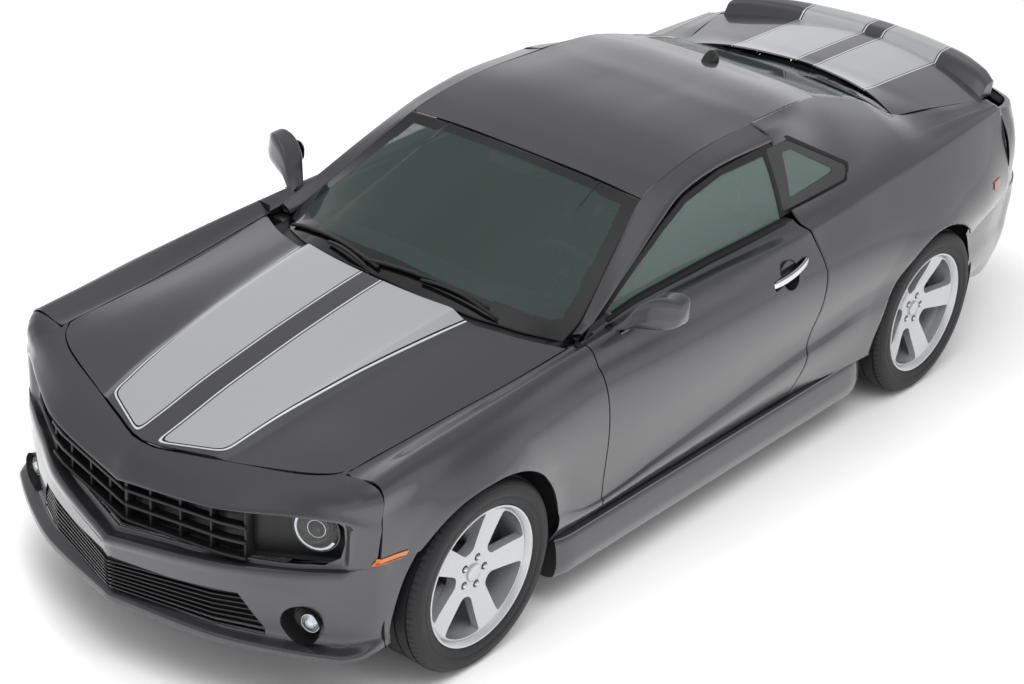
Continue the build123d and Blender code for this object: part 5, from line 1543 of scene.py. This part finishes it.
# Kind, inset from the window, offset along the car, thickness, finish
LAMP_PARTS = (("bezel", 0, -4, 40, gloss_black), ("glow", 12, -8, 24, lamp_red),
              ("core", 42, -10, 14, lamp_white))
lamp_sets = {"bezel": [], "glow": [], "core": []}
for x0, x1 in TAIL_LAMPS:
    near, far = tail_depth(x0 - 12, 870), tail_depth(x1 + 12, 870)
    for kind, inset, stands, thick, material in LAMP_PARTS:
        bm = bmesh.new()
        shape = prism(lamp_outline(x0, x1, inset), "Y", 0, 10)
        bm.from_mesh(shape.data)
        bpy.data.objects.remove(shape)
        for vert in bm.verts:
            along_lamp = (vert.co.x * 1000 - x0) / (x1 - x0)
            face_d = near + (far - near) * along_lamp - stands - 12
            vert.co.y = place(0, face_d - (thick if vert.co.y < place(0, 5, 0).y else 0), 0).y
        bmesh.ops.recalc_face_normals(bm, faces=bm.faces)
        lamp_sets[kind].append(round_edges(mesh_object(kind, bm, [material]), 3.0))
for kind, pieces in lamp_sets.items():
    ready(both_of(joined("tail_lamp_" + kind, pieces)), "body", ["tail_lamps"])
print("tail lamps", len(lamp_sets), "parts each")

# %% [markdown]
# Number plate pad and diffuser: grained mouldings, plain enough for simple shapes: a rounded block with two
# screw holes, and a bent sheet with four fins.
# %% Plate pad and diffuser
bm = chamfered(block(-169, 169, 3908, 3928, 436, 604), 4)
plate_pad = cut(mesh_object("plate_pad", bm, [black_plastic]),
                [drum(place(s * 89, 3928, 570), (0, 1, 0), 3.2, 15, 24) for s in (1, -1)])
ready(plate_pad, "body", ["rear_bumper"])


def diffuser_at(u, v):
    x = 500 * (2 * u - 1)
    return place(x, between([(3852, 0), (3780, 500)], abs(x)) - 6 + 40 * v - 22 * v * v, 196 + 150 * v)


diffuser = mesh_object("diffuser_moulded", sheet(40, 10, diffuser_at, place(0, 3000, 300)), [black_plastic])
ready(wall(diffuser, 4), "body")
for i, x in enumerate((-260, -90, 90, 260)):
    bm = chamfered(block(x - 3, x + 3, 3780, 3872, 204, 330), 2, 1)
    ready(mesh_object("diffuser_fin_%d" % i, bm, [black_plastic]), "body")
print("plate pad and diffuser made")

# %% [markdown]
# Sills: painted box sections between the wheels. Extruding one outline would end them bluntly; carried
# along the car, the section draws in before each wheel.
# %% Sills
SILL_START, SILL_LENGTH, SILL_TAPER = 430, 1990, 90
SILL_INNER_X = 724
SILL = [(724, 128), (880, 132), (914, 150), (926, 196), (922, 250), (912, 288), (892, 304), (720, 305)]


def sill_at(u, v):
    d = SILL_START + SILL_LENGTH * u
    from_front, from_rear = d - SILL_START, SILL_START + SILL_LENGTH - d
    swell = 1.0
    for run in (from_front, from_rear):
        swell -= 0.6 * max(0.0, 1 - run / SILL_TAPER) ** 2
    breadth = 0.86 + 0.14 * swell
    loop = []
    for x, z in SILL:
        out = x - SILL_INNER_X
        loop.append(place(SILL_INNER_X + out * (breadth if out > 0 else 1), d, z))
    return rounded(loop + loop[:1], [0, 0.1, 0.4, 0.5, 0.5, 0.4, 0.3, 0.1, 0], 8 * v)


sills = mesh_object("sills_pressed", mirrored(tube(60, 36, sill_at)), [paint])
ready(round_edges(sills, 2.0), "body", ["sills"])
print("sills", len(sills.data.polygons), "faces")

# %% [markdown]
# Mirrors: a painted shell on a black foot, with mirror glass in its rear. It could be sculpted from a cube;
# a section that runs outwards along smooth lines gives the swept form. The mirrors ride on the doors.
# %% Mirrors
# Sections from the foot outwards: x, then d front, d rear, z low, z high
MIRROR = [(792, 772, 850, 962, 988), (830, 790, 884, 980, 1026), (876, 810, 920, 1000, 1090),
          (930, 828, 940, 1012, 1126), (985, 848, 944, 1026, 1138), (1018, 870, 940, 1046, 1130),
          (1028, 892, 926, 1074, 1106)]


def mirror_at(u, v):
    columns = []
    for a, b in ((1, 4), (1, 3), (2, 3), (2, 4)):
        columns.append([place(row[0], row[a], row[b]) for row in MIRROR])
    ring = [spline(column, (len(MIRROR) - 1) * u) for column in columns]
    top = (ring[0] + ring[3]) / 2 + Vector((0, 0, 0.004))
    front_low, front_high = ring[0] + Vector((0, 0.014, -0.01)), ring[1] + Vector((0, 0.01, 0.006))
    loop = [top, front_low, front_high, ring[2], ring[3], top]
    return rounded(loop, [0, 0.5, 0.5, 0.3, 0.22, 0], 5 * v)


shell = mesh_object("mirror_shell_left", tube(56, 40, mirror_at), [paint])
foot = mesh_object("mirror_foot_left", block(764, 840, 796, 846, 960, 984), [gloss_black])
bm = block(884, 1012, 941, 947, 1030, 1116)
corners = [edge for edge in bm.edges if abs((edge.verts[0].co - edge.verts[1].co).y) > 0.004]
bmesh.ops.bevel(bm, geom=corners, offset=0.03, segments=6, profile=0.5, affect="EDGES", material=-1)
for vert in bm.verts:
    vert.co.y += (vert.co.x - 0.946) * -0.04
pane_left = mesh_object("mirror_glass_left", bm, [reflector])
for left in (shell, foot, pane_left):
    right_twin = copy_right(left, left.name.replace("left", "right"))
    ready(round_edges(left, 2.0), "door_left", ["mirror_left"])
    ready(round_edges(right_twin, 2.0), "door_right", ["mirror_right"])


def patch_at(u, v):
    a, b, c = place(752, 690, 962), place(748, 872, 986), place(690, 862, 1030)
    return a.lerp(b, u).lerp(a.lerp(c, u), v) + Vector((0.004, 0, 0.0))


patch_left = mesh_object("mirror_patch_left", sheet(10, 6, patch_at, place(600, 800, 950)), [gloss_black])
patch_right = copy_right(baked(wall(patch_left, 5)), "mirror_patch_right")
ready(patch_left, "door_left")
ready(patch_right, "door_right")

print("mirrors made")

# %% [markdown]
# Door handles: a chromed bow, a section carried along a gentle arc, over a turned cup that closes the
# round hole in the door.
# %% Door handles
def handle_path(u):
    return place(902 + 17 * sin(pi * u) ** 0.7, 1674 + 224 * u, 883 + 38 * u)


handle_left = carried("handle_left", handle_path, 6, 12, chrome, 36)
bm = turned(soften([(0, 52), (-8, 49), (-16, 40), (-18, 0)], 1), 40)
bmesh.ops.scale(bm, vec=(1, 1, 1.06), verts=bm.verts)
bmesh.ops.translate(bm, vec=place(894, 1776, 904), verts=bm.verts)
cup_left = mesh_object("handle_cup_left", bm, [gloss_black])
for left in (handle_left, cup_left):
    right_twin = copy_right(left, left.name.replace("left", "right"))
    ready(left, "door_left", ["door_left"])
    ready(right_twin, "door_right", ["door_right"])
print("handles made")

# %% [markdown]
# Wipers: an arm and a rubber blade each. Bent curves would float or sink; here each point of the path is
# dropped on the windscreen by a ray and lifted a little.
# %% Wipers
screen_tree = tree_of(screen)


def on_screen(x, d, lift):
    """Place over the windscreen or the cowl at x and d."""
    hit = screen_tree.ray_cast(place(x, d, 1500), Vector((0, 0, -1)), 1.0)[0]
    return (hit if hit else place(x, d, 1012 - abs(x) * 0.12)) + Vector((0, 0, lift / 1000))


def over_glass(a, b, lift, bow):
    """Path over the glass between two places (x, d), lifted, and more so in its middle."""
    def path(u):
        x, d = a[0] + (b[0] - a[0]) * u, a[1] + (b[1] - a[1]) * u
        return on_screen(x, d, lift + bow * sin(pi * u))
    return path


# Arm's pivot and end, blade's inner and outer end, as (x, d)
WIPERS = [((500, 520), (165, 480), (440, 536), (-100, 462)),
          ((-40, 424), (-300, 482), (-20, 452), (-560, 562))]
for i, (pivot, arm_end, blade_in, blade_out) in enumerate(WIPERS):
    pieces = [carried("arm", over_glass(pivot, arm_end, 16, 12), 6, 4, black_plastic, 24),
              carried("blade", over_glass(blade_in, blade_out, 11, 3), 7, 5, rubber, 40)]
    ready(joined("wiper_%d" % i, pieces), "body", ["cowl"])


print("wipers made")


# %% [markdown]
# Aerial: a small fin on the rear of the roof, one closed section that grows from its front toe to its
# upright tail.
# %% Aerial
def fin_at(u, v):
    """Section u of the fin, from toe to tail, v round it."""
    d = 2355 + 130 * u
    top = 1316 + 56 * sin(pi * min(1.0, u * 0.62)) ** 1.4 if u < 0.98 else 1316
    half = 4 + 16 * sin(pi * min(0.97, 0.12 + u * 0.7)) ** 0.8
    foot = 1350 - (d - 2355) * 0.2
    rise = max(0.0, sin(pi * (v if v <= 0.5 else 1 - v))) ** 0.35
    lift = 0.001 * max(0.0, top - foot + 12) * rise
    return place(half * cos(2 * pi * v), d, foot - 12) + Vector((0, 0, lift))


fin = mesh_object("aerial_fin", tube(30, 24, fin_at), [black_plastic])
ready(fin, "body", ["antenna_fin"])
print("aerial", len(fin.data.polygons), "faces")

# %% [markdown]
# Dashboard: a grained moulding with a hood over the dials. A bevelled box would look too plain through the
# glass; its section is carried across, raised before the driver and drawn in at both ends.
# %% Dashboard
DASH = [(520, 905), (600, 944), (760, 950), (860, 938), (898, 900), (900, 850), (872, 780), (830, 700),
        (700, 640), (540, 650)]


def dash_at(u, v):
    x = (2 * u - 1) * 688
    hump = 26 * max(0.0, 1 - ((x - 370) / 190) ** 2) ** 2
    edge = 1 - 0.25 * abs(x / 688) ** 6
    ring = []
    for d, z in DASH:
        lift = hump if z > 840 and d > 590 else 0
        ring.append(place(x, 520 + (d - 520) * edge + (hump * 0.3 if d > 800 else 0), z + lift - 12))
    return rounded(ring + ring[:1], [0.0, 0.4, 0.4, 0.4, 0.4, 0.4, 0.4, 0.4, 0.4, 0.4, 0], 10 * v)


dash = mesh_object("dashboard_moulded", tube(72, 60, dash_at), [black_plastic])
ready(dash, "body", ["dashboard"])
print("dashboard", len(dash.data.polygons), "faces")

# %% [markdown]
# Steering wheel: a leather rim, three spokes and a boss. Rim and boss are turned, the spokes are rounded
# blocks, and one matrix carries them all to the tilted column.
# %% Steering wheel
COLUMN_TILT = 22
COLUMN_HEAD = (370, 1120, 905)


def wheel_frame():
    """Axes of the steering wheel: across, up its face, and towards the driver."""
    tilt = radians(COLUMN_TILT)
    toward = Vector((0, cos(tilt), sin(tilt)))
    across = Vector((1, 0, 0))
    return Matrix((across, toward.cross(across) * -1, toward)).transposed().to_4x4()


def about_column(bm):
    """Carry a shape from the origin, where Z is the column, to the wheel's place."""
    bmesh.ops.transform(bm, matrix=Matrix.Translation(place(*COLUMN_HEAD)) @ wheel_frame(), verts=bm.verts)
    bmesh.ops.recalc_face_normals(bm, faces=bm.faces)
    return bm


def turned_z(profile, segments=64):
    """Turned surface about Z, the profile as (height, radius)."""
    bm = turned(profile, segments)
    bmesh.ops.rotate(bm, matrix=Matrix.Rotation(-pi / 2, 3, "Y"), verts=bm.verts)
    return bm


grip = mesh_object("steering_grip", about_column(turned_z(ring(0, 178, 15, 16), 80)), [leather])
ready(grip, "steering_wheel", ["steering_wheel"])
BOSS = [(-34, 0), (-34, 56), (-14, 62), (2, 58), (7, 40), (8, 0)]
boss = mesh_object("steering_boss", about_column(turned_z(BOSS, 48)), [black_plastic])
ready(round_edges(boss, 2.0), "steering_wheel", ["steering_wheel"])
for i, turn in enumerate((90, 210, 330)):
    bm = bmesh.new()
    bmesh.ops.create_cube(bm, size=1.0)
    bmesh.ops.scale(bm, vec=(0.13, 0.036, 0.012), verts=bm.verts)
    bmesh.ops.translate(bm, vec=(0.112, 0, -0.006), verts=bm.verts)
    chamfered(bm, 4)
    bmesh.ops.rotate(bm, matrix=Matrix.Rotation(radians(turn), 3, "Z"), verts=bm.verts)
    spoke = mesh_object("steering_spoke_%d" % i, about_column(bm), [reflector])
    ready(spoke, "steering_wheel", ["steering_wheel"])
SHROUD = [(-40, 0), (-40, 40), (-46, 46), (-200, 52), (-240, 40), (-240, 0)]
shroud = mesh_object("steering_column_shroud", about_column(turned_z(SHROUD, 40)), [black_plastic])
ready(shroud, "body", ["dashboard"])
print("steering wheel made")

# %% [markdown]
# Seats: moulded foam under tight leather. A cloth simulation would crease them, which tight leather over
# foam doesn't do, so each pad is a crowned shape smoothed by subdivision, with a groove along each seam.
# %% Seats
BOLSTER = [(1370, 330), (1365, 440), (1450, 500), (1700, 505), (1840, 470), (1840, 300)]
BACK_BOLSTER = [(1720, 500), (1752, 680), (1860, 900), (1930, 950), (1980, 930), (1900, 560), (1860, 470)]


def pad(name, x0, x1, outline, squeeze, seams=()):
    """Cushion between two sides from an outline of (d, z); its middle is crowned and its sides pull in."""
    centre = Vector((sum(p[0] for p in outline), sum(p[1] for p in outline))) / len(outline)

    def at(u, v):
        side = 2 * u - 1
        t = v * len(outline)
        i = int(t) % len(outline)
        a, b = outline[i], outline[(i + 1) % len(outline)]
        flat = Vector(a).lerp(Vector(b), t - int(t))
        shrink = 1 - squeeze * abs(side) ** 4
        for seam_at in seams:
            shrink -= 0.035 * max(0.0, 1 - abs(abs(side) - seam_at) * 12)
        spot = centre + (flat - centre) * shrink
        return place((x0 + x1) / 2 + (x1 - x0) / 2 * side, spot.x, spot.y)
    bm = tube(24, len(outline) * 3, at)
    made = mesh_object(name, bm, [leather])
    soft = made.modifiers.new("soft", "SUBSURF")
    soft.levels = soft.render_levels = 1
    return made


SEAT_PADS = [
    ("seat_cushion", -185, 185, [(1340, 330), (1330, 420), (1370, 478), (1560, 470), (1740, 452), (1850, 440),
                                 (1850, 300)],
     0.12, (0.62,)),
    ("seat_bolster_in", -248, -150, BOLSTER, 0.3, ()),
    ("seat_bolster_out", 150, 248, BOLSTER, 0.3, ()),
    ("seat_back", -180, 180, [(1735, 470), (1780, 700), (1880, 940), (1935, 1000), (1990, 990), (1985, 860),
                              (1900, 560), (1880, 460)], 0.14, (0.62,)),
    ("seat_back_in", -240, -146, BACK_BOLSTER, 0.3, ()),
    ("seat_back_out", 146, 240, BACK_BOLSTER, 0.3, ()),
    ("headrest", -118, 118, [(1890, 1020), (1905, 1100), (1930, 1128), (1985, 1126), (2000, 1060),
                             (1985, 1005), (1930, 996)],
     0.25, ()),
]
for side_name, centre in (("left", 400), ("right", -400)):
    for name, x0, x1, outline, squeeze, seams in SEAT_PADS:
        piece = pad("%s_%s" % (name, side_name), centre + x0, centre + x1, outline, squeeze, seams)
        ready(piece, "body", ["front_seats"])
    stem = mesh_object("headrest_stem_" + side_name, block(centre - 60, centre + 60, 1945, 1957, 940, 1040),
                       [dull_steel])
    ready(stem, "body", ["front_seats"])
    base = mesh_object("seat_base_" + side_name, block(centre - 215, centre + 215, 1400, 1830, 186, 330),
                       [black_plastic])
    ready(round_edges(base, 10), "body", ["front_seats"])
print("front seats", 2 * len(SEAT_PADS), "pads")

# %% [markdown]
# Rear seat: two shallow buckets with a carpeted ridge between them, padded in the same way.
# %% Rear seat
REAR_CUSHION = [(2160, 300), (2150, 420), (2190, 474), (2400, 460), (2560, 440), (2590, 300)]
REAR_BACK = [(2462, 450), (2470, 700), (2500, 930), (2545, 958), (2590, 930), (2595, 500)]
for i, (x0, x1) in enumerate(((-530, -40), (40, 530))):
    for name, outline in (("rear_cushion_%d", REAR_CUSHION), ("rear_back_%d", REAR_BACK)):
        piece = pad(name % i, x0, x1, outline, 0.08, (0.6,))
        ready(piece, "body", ["rear_seat"])
centre_pad = mesh_object("rear_seat_centre", block(-36, 36, 2180, 2590, 190, 440), [carpet])
ready(round_edges(centre_pad, 12), "body", ["rear_seat"])
print("rear seat made")

# %% [markdown]
# Lining: felt under the roof and a carpeted shelf close the cabin, so that the glass shows a dark room. The
# felt is the roof's own skin, lowered.
# %% Headliner and parcel shelf
HEADLINER_DROP = Vector((0, 0, 0.034))


def headliner_at(u, v):
    return roof_skin.at(6 * u, 0.35 + 3.3 * v) - HEADLINER_DROP


headliner = wall(mesh_object("headliner", sheet(30, 30, headliner_at, place(0, 1800, 3000)), [liner_felt]), 4)
ready(headliner, "body")
parcel = mesh_object("parcel_shelf", block(-520, 520, 2610, 2990, 1000, 1012), [carpet])
ready(round_edges(parcel, 4), "body")
print("cabin lined")

# %% [markdown]
# Rear-view mirror: a turned knob drawn out sideways on a stem, and a black sensor cover that follows the
# pane, found by rays.
# %% Rear-view mirror and sensor cover
mirror_bm = turned(soften([(0, 0), (0, 26), (-14, 30), (-30, 20), (-32, 0)], 1), 40)
bmesh.ops.rotate(mirror_bm, matrix=Matrix.Rotation(pi / 2, 3, "Z"), verts=mirror_bm.verts)
bmesh.ops.scale(mirror_bm, vec=(3.6, 1, 1.0), verts=mirror_bm.verts)
bmesh.ops.translate(mirror_bm, vec=place(0, 1240, 1205), verts=mirror_bm.verts)
inner_mirror = mesh_object("rear_view_mirror", mirror_bm, [gloss_black])
ready(inner_mirror, "body")


def sensor_cover_at(u, v):
    x, d = (2 * u - 1) * (88 + 52 * v), 1122 + 98 * v
    return screen_tree.ray_cast(place(x, d, 1500), Vector((0, 0, -1)))[0] - Vector((0, 0, 0.009))


cover_sheet = sheet(16, 10, sensor_cover_at, place(0, 1100, 900))
sensor_cover = wall(mesh_object("sensor_cover", cover_sheet, [gloss_black]), 3)
ready(round_edges(sensor_cover, 1.0), "body")
ready(mesh_object("rear_view_mirror_stem", block(-9, 9, 1205, 1240, 1205, 1250), [black_plastic]), "body")
print("cabin made")

# %% [markdown]
# Studio: a pale floor, two soft lamps and a sky that is brighter near the horizon. Dark lacquer shows what
# it reflects more than its own colour, so the sky's levels draw the car's shoulders; an even dome would
# leave them flat. Only reflections see that sky.
# %% Studio
# Brightness that reflections see at each height of the sky, as (sine of the height, level)
SKY = [(0, 0.95), (0.16, 0.9), (0.3, 0.85), (0.44, 0.54), (0.6, 0.46), (0.85, 0.4), (1, 0.5)]


CAMERA_SEES = (0.94, 0.94, 0.94, 1)
OTHERS_SEE = (0.86, 0.86, 0.86, 1)
FLOOR_HALF_SIZE = 60
# Name, size, power in watts, place and aim of each soft lamp
SOFT_LAMPS = (("key", (6, 4), 350, (2.5, -2.5, 6.5), (0, 0, 0.5)),
              ("long_softbox", (2.2, 8), 300, (-3.5, 0, 5.5), (0, 0, 0.8)))


def studio_floor():
    bm = bmesh.new()
    bmesh.ops.create_grid(bm, x_segments=1, y_segments=1, size=FLOOR_HALF_SIZE)
    floor = mesh_object("studio_floor", bm, [black_plastic], False)
    made = bpy.data.materials.new("white_studio_floor")
    made.use_nodes = True
    tree = made.node_tree
    shader = tree.nodes["Principled BSDF"]
    shader.inputs["Base Color"].default_value = linear("F4F4F4")
    shader.inputs["Roughness"].default_value = 0.35
    shader.inputs["Specular IOR Level"].default_value = 0.3
    floor.data.materials.clear()
    floor.data.materials.append(made)


def studio_sky():
    world = bpy.data.worlds.new("studio")
    bpy.context.scene.world = world
    world.use_nodes = True
    tree = world.node_tree
    sky = tree.nodes["Background"]
    ray = node(tree, "LightPath", {}, {})
    direction = node(tree, "SeparateXYZ", {},
                     {"Vector": node(tree, "NewGeometry", {}, {}).outputs["Position"]})
    ramp = node(tree, "ValToRGB", {}, {"Fac": direction.outputs["Z"]})
    ramp.color_ramp.interpolation = "B_SPLINE"
    for place_z, level in SKY:
        stop = ramp.color_ramp.elements.new(place_z)
        stop.color = (level, level, level * 1.02, 1)
    ramp.color_ramp.elements.remove(ramp.color_ramp.elements[0])
    ramp.color_ramp.elements.remove(ramp.color_ramp.elements[-1])
    seen = OTHERS_SEE
    for kind, shown in (("Is Glossy Ray", ramp.outputs["Color"]), ("Is Camera Ray", CAMERA_SEES)):
        seen = node(tree, "Mix", {"data_type": "RGBA"},
                    {"Factor": ray.outputs[kind], 6: seen, 7: shown}).outputs[2]
    tree.links.new(seen, sky.inputs["Color"])
    sky.inputs["Strength"].default_value = 1.0


def soft_lamps():
    for name, size, power, at, aim in SOFT_LAMPS:
        lamp = bpy.data.lights.new(name, "AREA")
        lamp.shape = "RECTANGLE"
        lamp.size, lamp.size_y = size
        lamp.energy = power
        held = bpy.data.objects.new(name, lamp)
        bpy.context.scene.collection.objects.link(held)
        held.visible_glossy = False
        held.visible_transmission = False
        held.location = at
        held.rotation_euler = (Vector(aim) - Vector(at)).to_track_quat("-Z", "Y").to_euler()


studio_floor()
studio_sky()
soft_lamps()
print("studio lit by", len(SOFT_LAMPS), "lamps")

# %% [markdown]
# Camera: a long lens from high on the front left. Its azimuth, elevation and roll give its axes, which are
# set as a matrix; an aim target couldn't give the roll.
# %% Camera
CAMERA_PLACE = (5.0615, -6.6963, 4.8176)
camera_data = bpy.data.cameras.new("camera")
camera_data.lens = 81.80
camera_data.sensor_width = 36
camera_data.shift_x = 0.0271
camera_data.shift_y = -0.0168
camera_data.clip_end = 200
camera = bpy.data.objects.new("camera", camera_data)
bpy.context.scene.collection.objects.link(camera)
azimuth, elevation, roll = radians(39.129), radians(27.758), radians(3.484)
back = Vector((sin(azimuth) * cos(elevation), -cos(azimuth) * cos(elevation), sin(elevation)))
right = (-back).cross(Vector((0, 0, 1))).normalized()
upward = right.cross(-back)
right_rolled = right * cos(roll) + upward * sin(roll)
up_rolled = upward * cos(roll) - right * sin(roll)
axes = Matrix((right_rolled, up_rolled, back)).transposed()
camera.matrix_world = Matrix.Translation(CAMERA_PLACE) @ axes.to_4x4()
bpy.context.scene.camera = camera
bpy.context.scene.view_settings.view_transform = "Standard"
print("camera at", CAMERA_PLACE)

# %% [markdown]
# Last, engine, floor and suspension stay as the CAD gave them, since little of them is seen; each gets its
# finish.
# %% Carried-over nodes and the end
CARRIED = {"engine": cast_iron, "floor_pan": dark_steel, "front_suspension": dark_steel,
           "rear_suspension": dark_steel,
           "exhaust": stainless, "knuckle_left": cast_iron, "knuckle_right": cast_iron}
for name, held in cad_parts.items():
    if held.hide_render:
        continue
    held.data.materials.clear()
    held.data.materials.append(CARRIED.get(name, black_plastic))
    print("carried over:", name)
